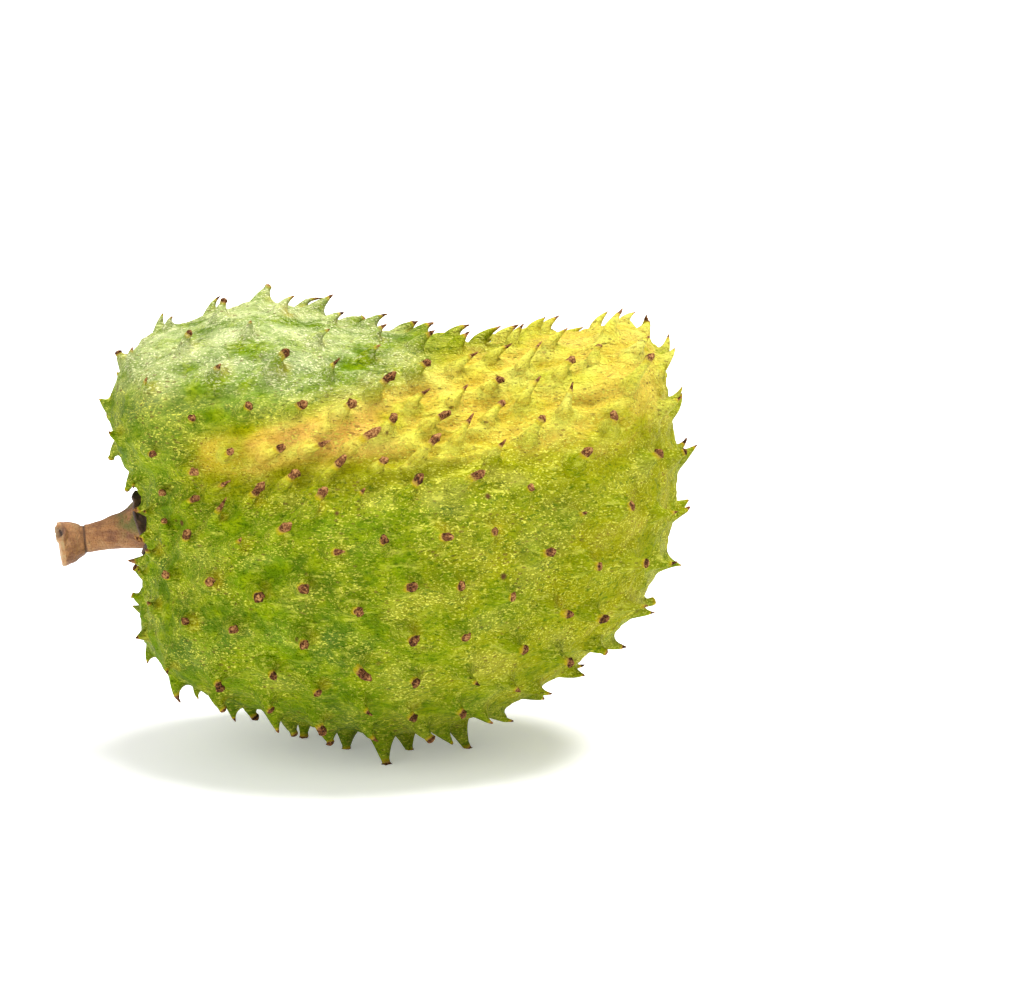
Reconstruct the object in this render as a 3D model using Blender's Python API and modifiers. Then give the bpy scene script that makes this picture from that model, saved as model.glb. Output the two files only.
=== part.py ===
"""A whole soursop lying on its side on its spines, with its cut stalk and three dried sepals.

Metres, +Z up. The stalk points along -X and the apex along +X. Z = 0 is the surface that the fruit lies on, and
the origin is under the middle of the whole object. The fruit is one solid: a skin that is the level surface of
a few blended swellings, with hooked fleshy spines raised out of it. Nothing moves.
"""

import math

import bmesh
import bpy
import numpy as np
from mathutils import Vector

GAP = 0.0003  # clearance between pieces that touch

# ---------------------------------------------------------------- the flesh, measured from its heart
HEART = np.array((0.0070, 0.0030, 0.0802))  # point inside the flesh, in the object's own frame
BLEND = 0.0070  # how softly the swellings run into each other
EVENNESS = np.array((0.098, 0.066, 0.075))  # half sizes of the fruit, which spread points evenly over it
SKIN_DIVISIONS = 5
SKIN_SETTLING = 25  # rounds that even out the skin's triangles
PATCH_SETTLING = 12  # rounds that fit them round the spines' feet

# Swellings: centre, and half sizes along X, Y and Z.
SWELLINGS = (
    ((-0.0781, 0.006, 0.0397), (0.0180, 0.040, 0.0238)),  # corner of the upper shoulder
    ((-0.0447, 0.006, 0.0393), (0.0364, 0.048, 0.0346)),  # upper shoulder
    ((-0.0539, -0.002, -0.0355), (0.0307, 0.044, 0.0221)),  # heel under the stalk
    ((-0.0041, -0.003, -0.0044), (0.0826, 0.064, 0.0687)),  # belly
    ((0.0791, 0.004, 0.0478), (0.0122, 0.036, 0.0163)),  # apex
    ((0.0579, 0.002, 0.0110), (0.0379, 0.048, 0.0523)),  # nose under the apex
    ((0.0174, 0.004, 0.0206), (0.0669, 0.050, 0.0269)),  # back between the shoulder and the apex
)

# Hollows: centre, half sizes, and how strongly they pull the skin in.
HOLLOWS = (
    ((-0.0970, -0.004, 0.0005), (0.0220, 0.026, 0.0130), 0.60),  # round the stalk
    ((-0.0560, -0.048, 0.0160), (0.0300, 0.020, 0.0110), 0.55),  # lower end of the valley
    ((-0.0180, -0.056, 0.0280), (0.0320, 0.022, 0.0120), 0.80),  # valley beside the upper shoulder
    ((0.0180, -0.046, 0.0460), (0.0260, 0.024, 0.0130), 0.75),  # upper end of the valley
)

# ---------------------------------------------------------------- the spines, measured from the heart
SPINE_SEED = 5
SPINE_COUNT = 320
SPACING = 0.0174  # between spines on the full sides
SPACING_CROWDED = 0.0112  # between spines where the flesh has grown least
SPACING_STALK = 0.0078  # between spines at the stalk
VALLEY_START = np.array((-0.0700, 0.0140))  # X and Z of the crowded band's ends
VALLEY_END = np.array((0.0780, 0.0640))
VALLEY_WIDTH = 0.0220
STALK_CROWDING = 0.0300  # how far the crowding reaches from the stalk
STALK_CLEARING = 0.0170  # no spine grows nearer than this to the middle of the stalk
FLOW_END = np.array((0.0980, 0.0300))  # X and Y of the upright line that every spine hooks towards
FLOW_FEET = (-0.0200, 0.0300)  # heights of two feet, and the heights on that line that their tips hook towards
FLOW_LEVELS = (-0.0100, 0.0760)
SPINE_HEIGHT = 0.0063
SPINE_HOOK = 0.45  # how far the tip leans, as a share of the height
SPINE_FOOT = 0.0047
SPINE_TIP = 0.0010
RIDGED_FROM = (0.0220, 0.0500)  # distances from the stalk over which crowded spines begin to stand on ridges
RIDGED_LEAN = 1.8  # how much further those spines lean
RIDGED_HEIGHT = 0.30  # how much taller they are, with the ridge
RIDGED_FOOT = 0.34  # how much narrower their feet are
SHOULDER_FROM = (0.0350, 0.0850)  # distances towards the stalk over which the spines get smaller
SHOULDER_SHRINK = 0.22
SPINE_TAPER = 2.0
SPINE_LEVELS = (0.40, 0.88)  # share of the height of each ring of corners, under the tip
PRESSED_BELOW = 0.0112  # spines whose feet are lower than this reach the surface
PRESSED_DEPTH = 0.0018  # how much of their tips is pressed flat
PRESSED_LEAN = 0.25  # how much of their hook is left

# ---------------------------------------------------------------- the stalk, measured from the heart
STALK_SEAT = np.array((-0.0850, -0.0040, 0.0000))  # where the middle of the stalk leaves the skin
STALK_OUTWARD = np.array((-0.988, -0.050, -0.146))  # the way that it leaves, before it bends down
# Middle line and radius, from inside the flesh to the cut end, with a ring groove near the cut.
STALK_LINE = (
    ((-0.0740, -0.0040, 0.0030), 0.0125),
    ((-0.0850, -0.0040, 0.0000), 0.0096),
    ((-0.0904, -0.0043, -0.0018), 0.0073),
    ((-0.0980, -0.0049, -0.0037), 0.0057),
    ((-0.1042, -0.0056, -0.0049), 0.0049),
    ((-0.1062, -0.0059, -0.0053), 0.0049),
    ((-0.1069, -0.0060, -0.0054), 0.0046),
    ((-0.1076, -0.0061, -0.0056), 0.0052),
    ((-0.1106, -0.0066, -0.0061), 0.0067),
    ((-0.1139, -0.0072, -0.0068), 0.0076),
    ((-0.1160, -0.0075, -0.0070), 0.0077),
)
SCAR_PLACE = np.array((-0.1148, -0.0116, -0.0021))  # old bud scar on the rim of the cut
SCAR_HALF_SIZE = (0.0016, 0.0018, 0.0024)

# ---------------------------------------------------------------- the sepals, round the stalk's seat
SEPAL_COUNT = 3
FIRST_SEPAL_TURN = 53  # degrees from straight up, towards -Y
SEPAL_SPREAD = 106  # degrees of the stalk that one sepal goes round
SEPAL_RADII = (0.0108, 0.0100, 0.0108)  # from the middle of the stalk to each sepal's root
SEPAL_FLARE = 0.30  # how fast it leaves the stalk
SEPAL_ROOT_DEPTH = 0.0020
SEPAL_HEIGHTS = (0.0046, 0.0014, 0.0032)
SEPAL_THICKNESS = 0.0011
SEPAL_CELLS = (10, 5)

# ---------------------------------------------------------------- colours, linear
SKIN_GREEN = (0.30, 0.36, 0.03, 1.0)
WOOD_BROWN = (0.39, 0.17, 0.07, 1.0)
DRIED_BROWN = (0.045, 0.024, 0.014, 1.0)


def unit(vectors):
    """Vectors scaled to length one, along the last axis."""
    return vectors / np.linalg.norm(vectors, axis=-1, keepdims=True)


def smooth_step(values, low, high):
    """Zero under low, one over high, and a smooth rise between them."""
    share = np.clip((values - low) / (high - low), 0, 1)
    return share * share * (3 - 2 * share)


def fullness(places):
    """Over one inside the flesh and under one outside it."""
    total = np.zeros(len(places))
    for centre, half in SWELLINGS:
        reach = np.linalg.norm((places - np.array(centre)) / np.array(half), axis=1)
        total += np.exp((1 - reach) * np.prod(half) ** (1 / 3) / BLEND)
    for centre, half, strength in HOLLOWS:
        reach = (places - np.array(centre)) / np.array(half)
        total *= np.exp(-strength * np.exp(-(reach**2).sum(axis=1)))
    return total


def skin_at(directions):
    """Where rays from the heart leave the flesh."""
    near = np.full(len(directions), 0.010)
    far = np.full(len(directions), 0.160)
    for _ in range(22):
        middle = (near + far) / 2
        inside = fullness(directions * middle[:, None]) > 1
        near = np.where(inside, middle, near)
        far = np.where(inside, far, middle)
    return directions * near[:, None]


def normals_at(places):
    """Outward normals of the flesh at places on its skin."""
    step = 0.0004
    slopes = [fullness(places - step * axis) - fullness(places + step * axis) for axis in np.eye(3)]
    return unit(np.stack(slopes, axis=-1))


def crowding(places):
    """One along the valley and at the stalk, where spines are small and close, and zero on the full sides."""
    band = VALLEY_END - VALLEY_START
    across = places[:, (0, 2)] - VALLEY_START
    share = np.clip(across @ band / (band @ band), 0, 1)
    from_valley = np.linalg.norm(across - share[:, None] * band, axis=1)
    return np.maximum(np.exp(-((from_valley / VALLEY_WIDTH) ** 2)), by_stalk(places))


def by_stalk(places):
    """One at the stalk, and less further from it."""
    return np.exp(-((np.linalg.norm(places - STALK_SEAT, axis=1) / STALK_CROWDING) ** 2))


def spread_feet():
    """Feet of the spines: seeded places on the skin that push each other apart until they are evenly spaced."""
    random = np.random.default_rng(SPINE_SEED)
    feet = skin_at(unit(unit(random.normal(size=(SPINE_COUNT, 3))) * EVENNESS))
    itself = np.eye(SPINE_COUNT)
    for _ in range(90):
        room = SPACING + (SPACING_CROWDED - SPACING) * crowding(feet)
        room = room + (SPACING_STALK - room) * by_stalk(feet)
        between = feet[:, None] - feet[None]
        apart = np.linalg.norm(between, axis=2) + itself
        wanted = 1.25 * (room[:, None] + room[None]) / 2
        push = np.clip(1 - apart / wanted, 0, 1) * (1 - itself)
        shift = (push[..., None] * between / apart[..., None]).sum(axis=1)
        feet = skin_at(unit(feet + 0.35 * room[:, None] * shift))
    return feet[np.linalg.norm(feet - STALK_SEAT, axis=1) > STALK_CLEARING]


class Spines:
    """Every spine's foot, the directions that it grows in, and its height."""

    def __init__(self, feet):
        random = np.random.default_rng(SPINE_SEED + 1)
        crowded = crowding(feet)
        size = (1 - 0.25 * crowded) * (1 - SHOULDER_SHRINK * smooth_step(-feet[:, 0], *SHOULDER_FROM))
        ridged = crowded * smooth_step(np.linalg.norm(feet - STALK_SEAT, axis=1), *RIDGED_FROM)
        self.feet = feet
        self.outward = normals_at(feet)
        level = np.interp(feet[:, 2], FLOW_FEET, FLOW_LEVELS)
        towards = np.column_stack((FLOW_END[0] - feet[:, 0], FLOW_END[1] - feet[:, 1], level - feet[:, 2]))
        across = towards - (towards * self.outward).sum(axis=1)[:, None] * self.outward
        self.hooked = unit(across)
        self.sideways = np.cross(self.outward, self.hooked)
        self.foot_radius = SPINE_FOOT * size * (1.06 - RIDGED_FOOT * ridged)
        self.lean = SPINE_HOOK * random.uniform(0.6, 1.3, len(feet)) * (1 + RIDGED_LEAN * ridged)
        self.height = SPINE_HEIGHT * size * random.uniform(0.8, 1.2, len(feet))
        self.height *= 1 + RIDGED_HEIGHT * ridged
        self.press()

    def press(self):
        """Makes the spines under the fruit long enough for their flat tips to carry it."""
        lowest = self.feet[:, 2] + HEART[2] < PRESSED_BELOW
        self.lean = np.where(lowest, PRESSED_LEAN * self.lean, self.lean)
        falls = -(self.outward[:, 2] + self.lean * self.hooked[:, 2])
        reach = self.feet[:, 2] + HEART[2] + PRESSED_DEPTH
        self.height = np.where(lowest, reach / np.where(lowest, falls, 1), self.height)

    def point(self, number, share, turn, radius):
        """Place at a share of one spine's height, at a turn round its curved middle line and a radius from it."""
        height = self.height[number]
        outward, hooked = self.outward[number], self.hooked[number]
        middle = self.feet[number] + height * (share * outward + self.lean[number] * share**2 * hooked)
        tilt = math.atan(2 * self.lean[number] * share)
        forward = math.cos(tilt) * hooked - math.sin(tilt) * outward
        ring = math.cos(turn) * forward + math.sin(turn) * self.sideways[number]
        place = HEART + middle + radius * ring
        return Vector((place[0], place[1], max(place[2], 0.0)))

    def radius(self, number, share):
        """How thick one spine is at a share of its height: a wide foot that thins quickly to a blunt tip."""
        return SPINE_TIP + (self.foot_radius[number] - SPINE_TIP) * (1 - share) ** SPINE_TAPER


def settled(places, links):
    """Each corner of the skin moved between its neighbours, and a little towards the crowded ones."""
    weight = 1 + crowding(places)
    return np.array([np.average(places[around], axis=0, weights=weight[around]) for around in links])


def choose_feet(places, links, spines):
    """The mesh corner under each spine's foot, without the spines whose rings of corners would meet."""
    taken = set()
    chosen = {}
    for number in np.argsort(spines.feet[:, 2]):
        corner = int(np.argmax(unit(places) @ unit(spines.feet[number])))
        patch = {corner, *links[corner]}
        if not patch & taken:
            taken |= patch
            chosen[int(number)] = corner
    return chosen


def set_round_foot(places, ring, spines, number):
    """Puts a spine's ring of corners on a circle round its foot, and returns the turn of each of them."""
    offsets = places[ring] - spines.feet[number]
    turns = np.arctan2(offsets @ spines.sideways[number], offsets @ spines.hooked[number])
    order = np.argsort(turns)
    even = 2 * math.pi * np.arange(len(ring)) / len(ring)
    spin = np.angle(np.exp(1j * (turns[order] - even)).sum())
    turns[order] = even + spin
    circle = np.cos(turns)[:, None] * spines.hooked[number] + np.sin(turns)[:, None] * spines.sideways[number]
    places[ring] = spines.feet[number] + spines.foot_radius[number] * circle
    return turns


def flesh_mesh(spines):
    """The skin without its spines, with a round patch of corners ready for each spine that it has room for."""
    mesh = bmesh.new()
    bmesh.ops.create_icosphere(mesh, subdivisions=SKIN_DIVISIONS, radius=1)
    mesh.verts.ensure_lookup_table()
    links = [[edge.other_vert(vert).index for edge in vert.link_edges] for vert in mesh.verts]
    places = skin_at(unit(np.array([vert.co for vert in mesh.verts]) * EVENNESS))
    for _ in range(SKIN_SETTLING):
        places = skin_at(unit(settled(places, links)))
    spine_layer = mesh.verts.layers.int.new("spine")
    turn_layer = mesh.verts.layers.float.new("turn")

    fixed = np.zeros(len(places), bool)
    for number, corner in choose_feet(places, links, spines).items():
        ring = links[corner]
        turns = set_round_foot(places, ring, spines, number)
        places[corner] = spines.feet[number]
        fixed[[corner, *ring]] = True
        mesh.verts[corner][spine_layer] = number + 1
        for other, turn in zip(ring, turns):
            mesh.verts[other][spine_layer] = -(number + 1)
            mesh.verts[other][turn_layer] = turn

    for _ in range(PATCH_SETTLING):
        places = np.where(fixed[:, None], places, settled(places, links))
    places = skin_at(unit(places))
    for vert, place in zip(mesh.verts, places):
        vert.co = HEART + place
    return mesh


def raise_spines(mesh, spines):
    """Draws each prepared patch of skin out into a hooked spine, ring by ring."""
    spine_layer = mesh.verts.layers.int["spine"]
    turn_layer = mesh.verts.layers.float["turn"]
    patches = [face for face in mesh.faces if any(vert[spine_layer] > 0 for vert in face.verts)]
    for share in SPINE_LEVELS:
        raised = bmesh.ops.extrude_face_region(mesh, geom=patches)["geom"]
        bmesh.ops.delete(mesh, geom=patches, context="FACES")
        patches = [item for item in raised if isinstance(item, bmesh.types.BMFace)]
        for vert in (item for item in raised if isinstance(item, bmesh.types.BMVert)):
            number = abs(vert[spine_layer]) - 1
            if vert[spine_layer] > 0:
                vert.co = spines.point(number, 1.0, 0.0, 0.0)
            else:
                vert.co = spines.point(number, share, vert[turn_layer], spines.radius(number, share))


def material(name, colour, roughness):
    """A plain material with a colour and a roughness."""
    finish = bpy.data.materials.new(name)
    finish.use_nodes = True
    shader = finish.node_tree.nodes["Principled BSDF"]
    shader.inputs["Base Color"].default_value = colour
    shader.inputs["Roughness"].default_value = roughness
    shader.inputs["Metallic"].default_value = 0.0
    return finish


def add_object(name, mesh, collection, finish=None):
    """A smooth-shaded object in a collection, made from a bmesh, which it frees, or from a finished mesh."""
    data = mesh
    if isinstance(mesh, bmesh.types.BMesh):
        data = bpy.data.meshes.new(name)
        mesh.to_mesh(data)
        mesh.free()
    data.shade_smooth()
    obj = bpy.data.objects.new(name, data)
    collection.objects.link(obj)
    if finish:
        data.materials.clear()
        data.materials.append(finish)
    return obj


def add_cutter(name, mesh, collection):
    """A helper object that is only used by a Boolean."""
    cutter = add_object(name, mesh, collection)
    cutter.hide_render = True
    cutter.display_type = "WIRE"
    return cutter


def add_boolean(obj, operation, other):
    """Cuts or joins another object to this one."""
    step = obj.modifiers.new(f"{operation.lower()} {other.name}", "BOOLEAN")
    step.operation = operation
    step.object = other


def grown_mesh(mesh, amount):
    """A copy of a bmesh with every corner moved out along its normal."""
    grown = mesh.copy()
    grown.normal_update()
    for vert in grown.verts:
        vert.co += amount * vert.normal
    return grown


def stalk_mesh():
    """The stalk as a round rod along its curved middle line, thick at both ends, before it is cut."""
    curve = bpy.data.curves.new("stalk line", "CURVE")
    curve.dimensions = "3D"
    curve.bevel_depth = 1.0
    curve.bevel_resolution = 4
    curve.resolution_u = 3
    curve.use_fill_caps = True
    line = curve.splines.new("BEZIER")
    line.radius_interpolation = "CARDINAL"
    line.bezier_points.add(len(STALK_LINE) - 1)
    for knot, (place, radius) in zip(line.bezier_points, STALK_LINE):
        knot.co = Vector(HEART + np.array(place))
        knot.radius = radius
        knot.handle_left_type = "AUTO"
        knot.handle_right_type = "AUTO"
    rod = bpy.data.objects.new("stalk line", curve)
    bpy.context.scene.collection.objects.link(rod)
    bpy.context.view_layer.update()
    data = bpy.data.meshes.new_from_object(rod.evaluated_get(bpy.context.evaluated_depsgraph_get()))
    bpy.data.objects.remove(rod)
    mesh = bmesh.new()
    mesh.from_mesh(data)
    bmesh.ops.remove_doubles(mesh, verts=mesh.verts, dist=0.00001)
    bmesh.ops.recalc_face_normals(mesh, faces=mesh.faces)
    return mesh


def scar_mesh():
    """The old bud scar: a small round knob on the rim of the cut."""
    mesh = bmesh.new()
    bmesh.ops.create_uvsphere(mesh, u_segments=10, v_segments=6, radius=1)
    for vert in mesh.verts:
        vert.co = Vector(HEART + SCAR_PLACE + np.array(vert.co) * np.array(SCAR_HALF_SIZE))
    return mesh


def skin_beside_stalk(around):
    """How far out along the stalk the skin lies, beside the stalk by the given step from its middle."""
    along = np.linspace(-0.012, 0.012, 481)
    places = STALK_SEAT + along[:, None] * STALK_OUTWARD + around
    return along[fullness(places) > 1].max()


def sepal_mesh(number):
    """One dried sepal: a crescent flap round part of the stalk, with its root sunk in the skin."""
    up = unit(np.array((0.0, 0.0, 1.0)) - STALK_OUTWARD[2] * STALK_OUTWARD)
    side = np.cross(STALK_OUTWARD, up)
    middle_turn = math.radians(FIRST_SEPAL_TURN + number * 360 / SEPAL_COUNT)
    mesh = bmesh.new()
    bmesh.ops.create_grid(mesh, x_segments=SEPAL_CELLS[0], y_segments=SEPAL_CELLS[1], size=1)
    for vert in mesh.verts:
        across, rise = vert.co.x, (vert.co.y + 1) / 2
        turn = middle_turn - across * math.radians(SEPAL_SPREAD) / 2
        around = math.cos(turn) * up - math.sin(turn) * side
        height = SEPAL_HEIGHTS[number] * math.sqrt(1.04 - across**2)
        above_skin = rise * (SEPAL_ROOT_DEPTH + height) - SEPAL_ROOT_DEPTH
        along = skin_beside_stalk(SEPAL_RADII[number] * around) + above_skin
        radius = SEPAL_RADII[number] + SEPAL_FLARE * above_skin
        vert.co = Vector(HEART + STALK_SEAT + along * STALK_OUTWARD + radius * around)
    return mesh


def build():
    """Clears the scene and makes every piece."""
    for obj in list(bpy.data.objects):
        bpy.data.objects.remove(obj)
    pieces = bpy.data.collections.new("soursop")
    cutters = bpy.data.collections.new("cutters")
    for collection in (pieces, cutters):
        bpy.context.scene.collection.children.link(collection)

    spines = Spines(spread_feet())
    fruit = flesh_mesh(spines)
    flesh_cutter = add_cutter("grown flesh", grown_mesh(fruit, GAP), cutters)
    raise_spines(fruit, spines)
    add_object("fruit", fruit, pieces, material("soursop skin", SKIN_GREEN, 0.5))

    wood = material("woody stalk", WOOD_BROWN, 0.7)
    rod = stalk_mesh()
    stalk_cutter = add_cutter("grown stalk", grown_mesh(rod, GAP), cutters)
    stalk = add_object("stalk", rod, pieces, wood)
    scar = add_cutter("bud scar", scar_mesh(), cutters)
    add_boolean(stalk, "UNION", scar)
    add_boolean(stalk, "DIFFERENCE", flesh_cutter)

    dried = material("dried sepal", DRIED_BROWN, 0.8)
    for number in range(SEPAL_COUNT):
        sepal = add_object(f"sepal_{number + 1}", sepal_mesh(number), pieces, dried)
        shell = sepal.modifiers.new("thickness", "SOLIDIFY")
        shell.thickness = SEPAL_THICKNESS
        shell.offset = 0
        add_boolean(sepal, "DIFFERENCE", stalk_cutter)
        add_boolean(sepal, "DIFFERENCE", flesh_cutter)


build()
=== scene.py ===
"""Looks of a whole soursop lying on its side on its spines.

Metres, +Z up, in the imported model's frame: the stalk points along -X, the apex along +X, and Z = 0 is the
surface that the fruit lies on. The fruit's skin is the level surface of a few blended swellings, as in the
solid model, with every spine, fold and pad raised from it. The stalk and the sepals get fine pieces of
their own.
"""

from __future__ import annotations

import logging
import math
from dataclasses import dataclass, field
from enum import Enum

import bmesh
import bpy
import numpy as np
from mathutils import Matrix, Vector, noise

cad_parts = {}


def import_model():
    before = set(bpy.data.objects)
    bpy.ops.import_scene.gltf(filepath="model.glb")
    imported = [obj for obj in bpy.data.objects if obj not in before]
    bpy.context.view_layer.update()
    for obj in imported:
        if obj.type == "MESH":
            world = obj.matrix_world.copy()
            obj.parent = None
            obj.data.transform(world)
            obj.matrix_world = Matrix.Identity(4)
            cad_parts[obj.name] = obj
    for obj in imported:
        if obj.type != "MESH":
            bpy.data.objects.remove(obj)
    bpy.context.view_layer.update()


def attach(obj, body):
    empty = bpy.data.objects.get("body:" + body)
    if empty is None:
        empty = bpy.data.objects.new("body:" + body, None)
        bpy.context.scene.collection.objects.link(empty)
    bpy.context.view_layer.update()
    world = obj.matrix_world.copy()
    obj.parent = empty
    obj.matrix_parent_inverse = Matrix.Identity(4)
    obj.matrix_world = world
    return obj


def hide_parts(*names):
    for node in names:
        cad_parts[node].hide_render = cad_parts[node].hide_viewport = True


log = logging.getLogger("soursop")

BODY = "root"
# Point inside the flesh that the fruit's own places are measured from
HEART = np.array((0.0070, 0.0030, 0.0802))
# Where the middle of the stalk leaves the skin, from the heart, and the way that it leaves
STALK_SEAT = np.array((-0.0850, -0.0040, 0.0000))
STALK_OUTWARD = np.array((-0.988, -0.050, -0.146))

Socket = bpy.types.NodeSocket
Place = tuple[float, float, float]
Colour = tuple[float, float, float]
Span = tuple[float, float]


class Slot(Enum):
    """The record's material slots."""

    SKIN = "skin"
    STALK_WOOD = "stalk_wood"
    DRIED_SEPAL = "dried_sepal"


class Arithmetic(Enum):
    """The steps of arithmetic that the finishes use."""

    ADD = "ADD"
    SUBTRACT = "SUBTRACT"
    MULTIPLY = "MULTIPLY"
    LARGER = "MAXIMUM"


def unit(vectors: np.ndarray) -> np.ndarray:
    """Vectors scaled to length one, along the last axis."""
    return vectors / np.linalg.norm(vectors, axis=-1, keepdims=True)


def smooth_step(values: np.ndarray, low: float, high: float) -> np.ndarray:
    """Zero under low, one over high, and a smooth rise between them."""
    share = np.clip((values - low) / (high - low), 0, 1)
    return share * share * (3 - 2 * share)


def beside_line(places: np.ndarray, start: Span, end: Span) -> tuple[np.ndarray, ...]:
    """Where places are beside a straight line, seen from the fruit's side.

    Args:
        places: One place per row.
        start: X and Z of the line's start.
        end: X and Z of its end.

    Returns:
        The share of the way along the line, the distance from it, and whether each place is above it.
    """
    line = np.array(end) - np.array(start)
    across = places[:, (0, 2)] - np.array(start)
    share = np.clip(across @ line / (line @ line), 0, 1)
    distance = np.linalg.norm(across - share[:, None] * line, axis=1)
    return share, distance, across[:, 1] * line[0] > across[:, 0] * line[1]


def noise_at(places: np.ndarray, cell: Place, seed: float = 0.0) -> np.ndarray:
    """Smooth noise between about -1 and 1 at places in space.

    Args:
        places: One place per row.
        cell: Size of the noise's cells along X, Y and Z.
        seed: Shifts the noise, so that two noises differ.

    Returns:
        One value for each place.
    """
    scaled = places / np.array(cell) + seed
    return np.array([noise.noise(Vector(place)) for place in scaled])


def mesh_object(name: str, mesh: bmesh.types.BMesh) -> bpy.types.Object:
    """Makes a smooth-shaded object from a bmesh, and frees the bmesh.

    Args:
        name: The piece's name.
        mesh: The finished bmesh.

    Returns:
        The object, linked to the scene.
    """
    data = bpy.data.meshes.new(name)
    mesh.to_mesh(data)
    mesh.free()
    data.shade_smooth()
    piece = bpy.data.objects.new(name, data)
    bpy.context.scene.collection.objects.link(piece)
    return piece


def give_values(piece: bpy.types.Object, name: str, values: np.ndarray) -> None:
    """Stores one number for each corner of a mesh.

    Args:
        piece: The object whose mesh it is.
        name: The name that its material reads them by.
        values: The numbers, in the order of the corners.
    """
    layer = piece.data.attributes.new(name, "FLOAT", "POINT")
    layer.data.foreach_set("value", np.asarray(values, np.float32))


def finish_piece(
    piece: bpy.types.Object, finish: bpy.types.Material, replaced: str
) -> bpy.types.Object:
    """Dresses a piece, rides it on the fruit's body and reports it.

    Args:
        piece: The object.
        finish: Its material.
        replaced: The solid node that it stands for.

    Returns:
        The same object.
    """
    piece.data.materials.clear()
    piece.data.materials.append(finish)
    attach(piece, BODY)
    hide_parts(replaced)
    log.info("%s: %d faces", piece.name, len(piece.data.polygons))
    return piece


# --------------------------------------------------------------------------------------- material building


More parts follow.
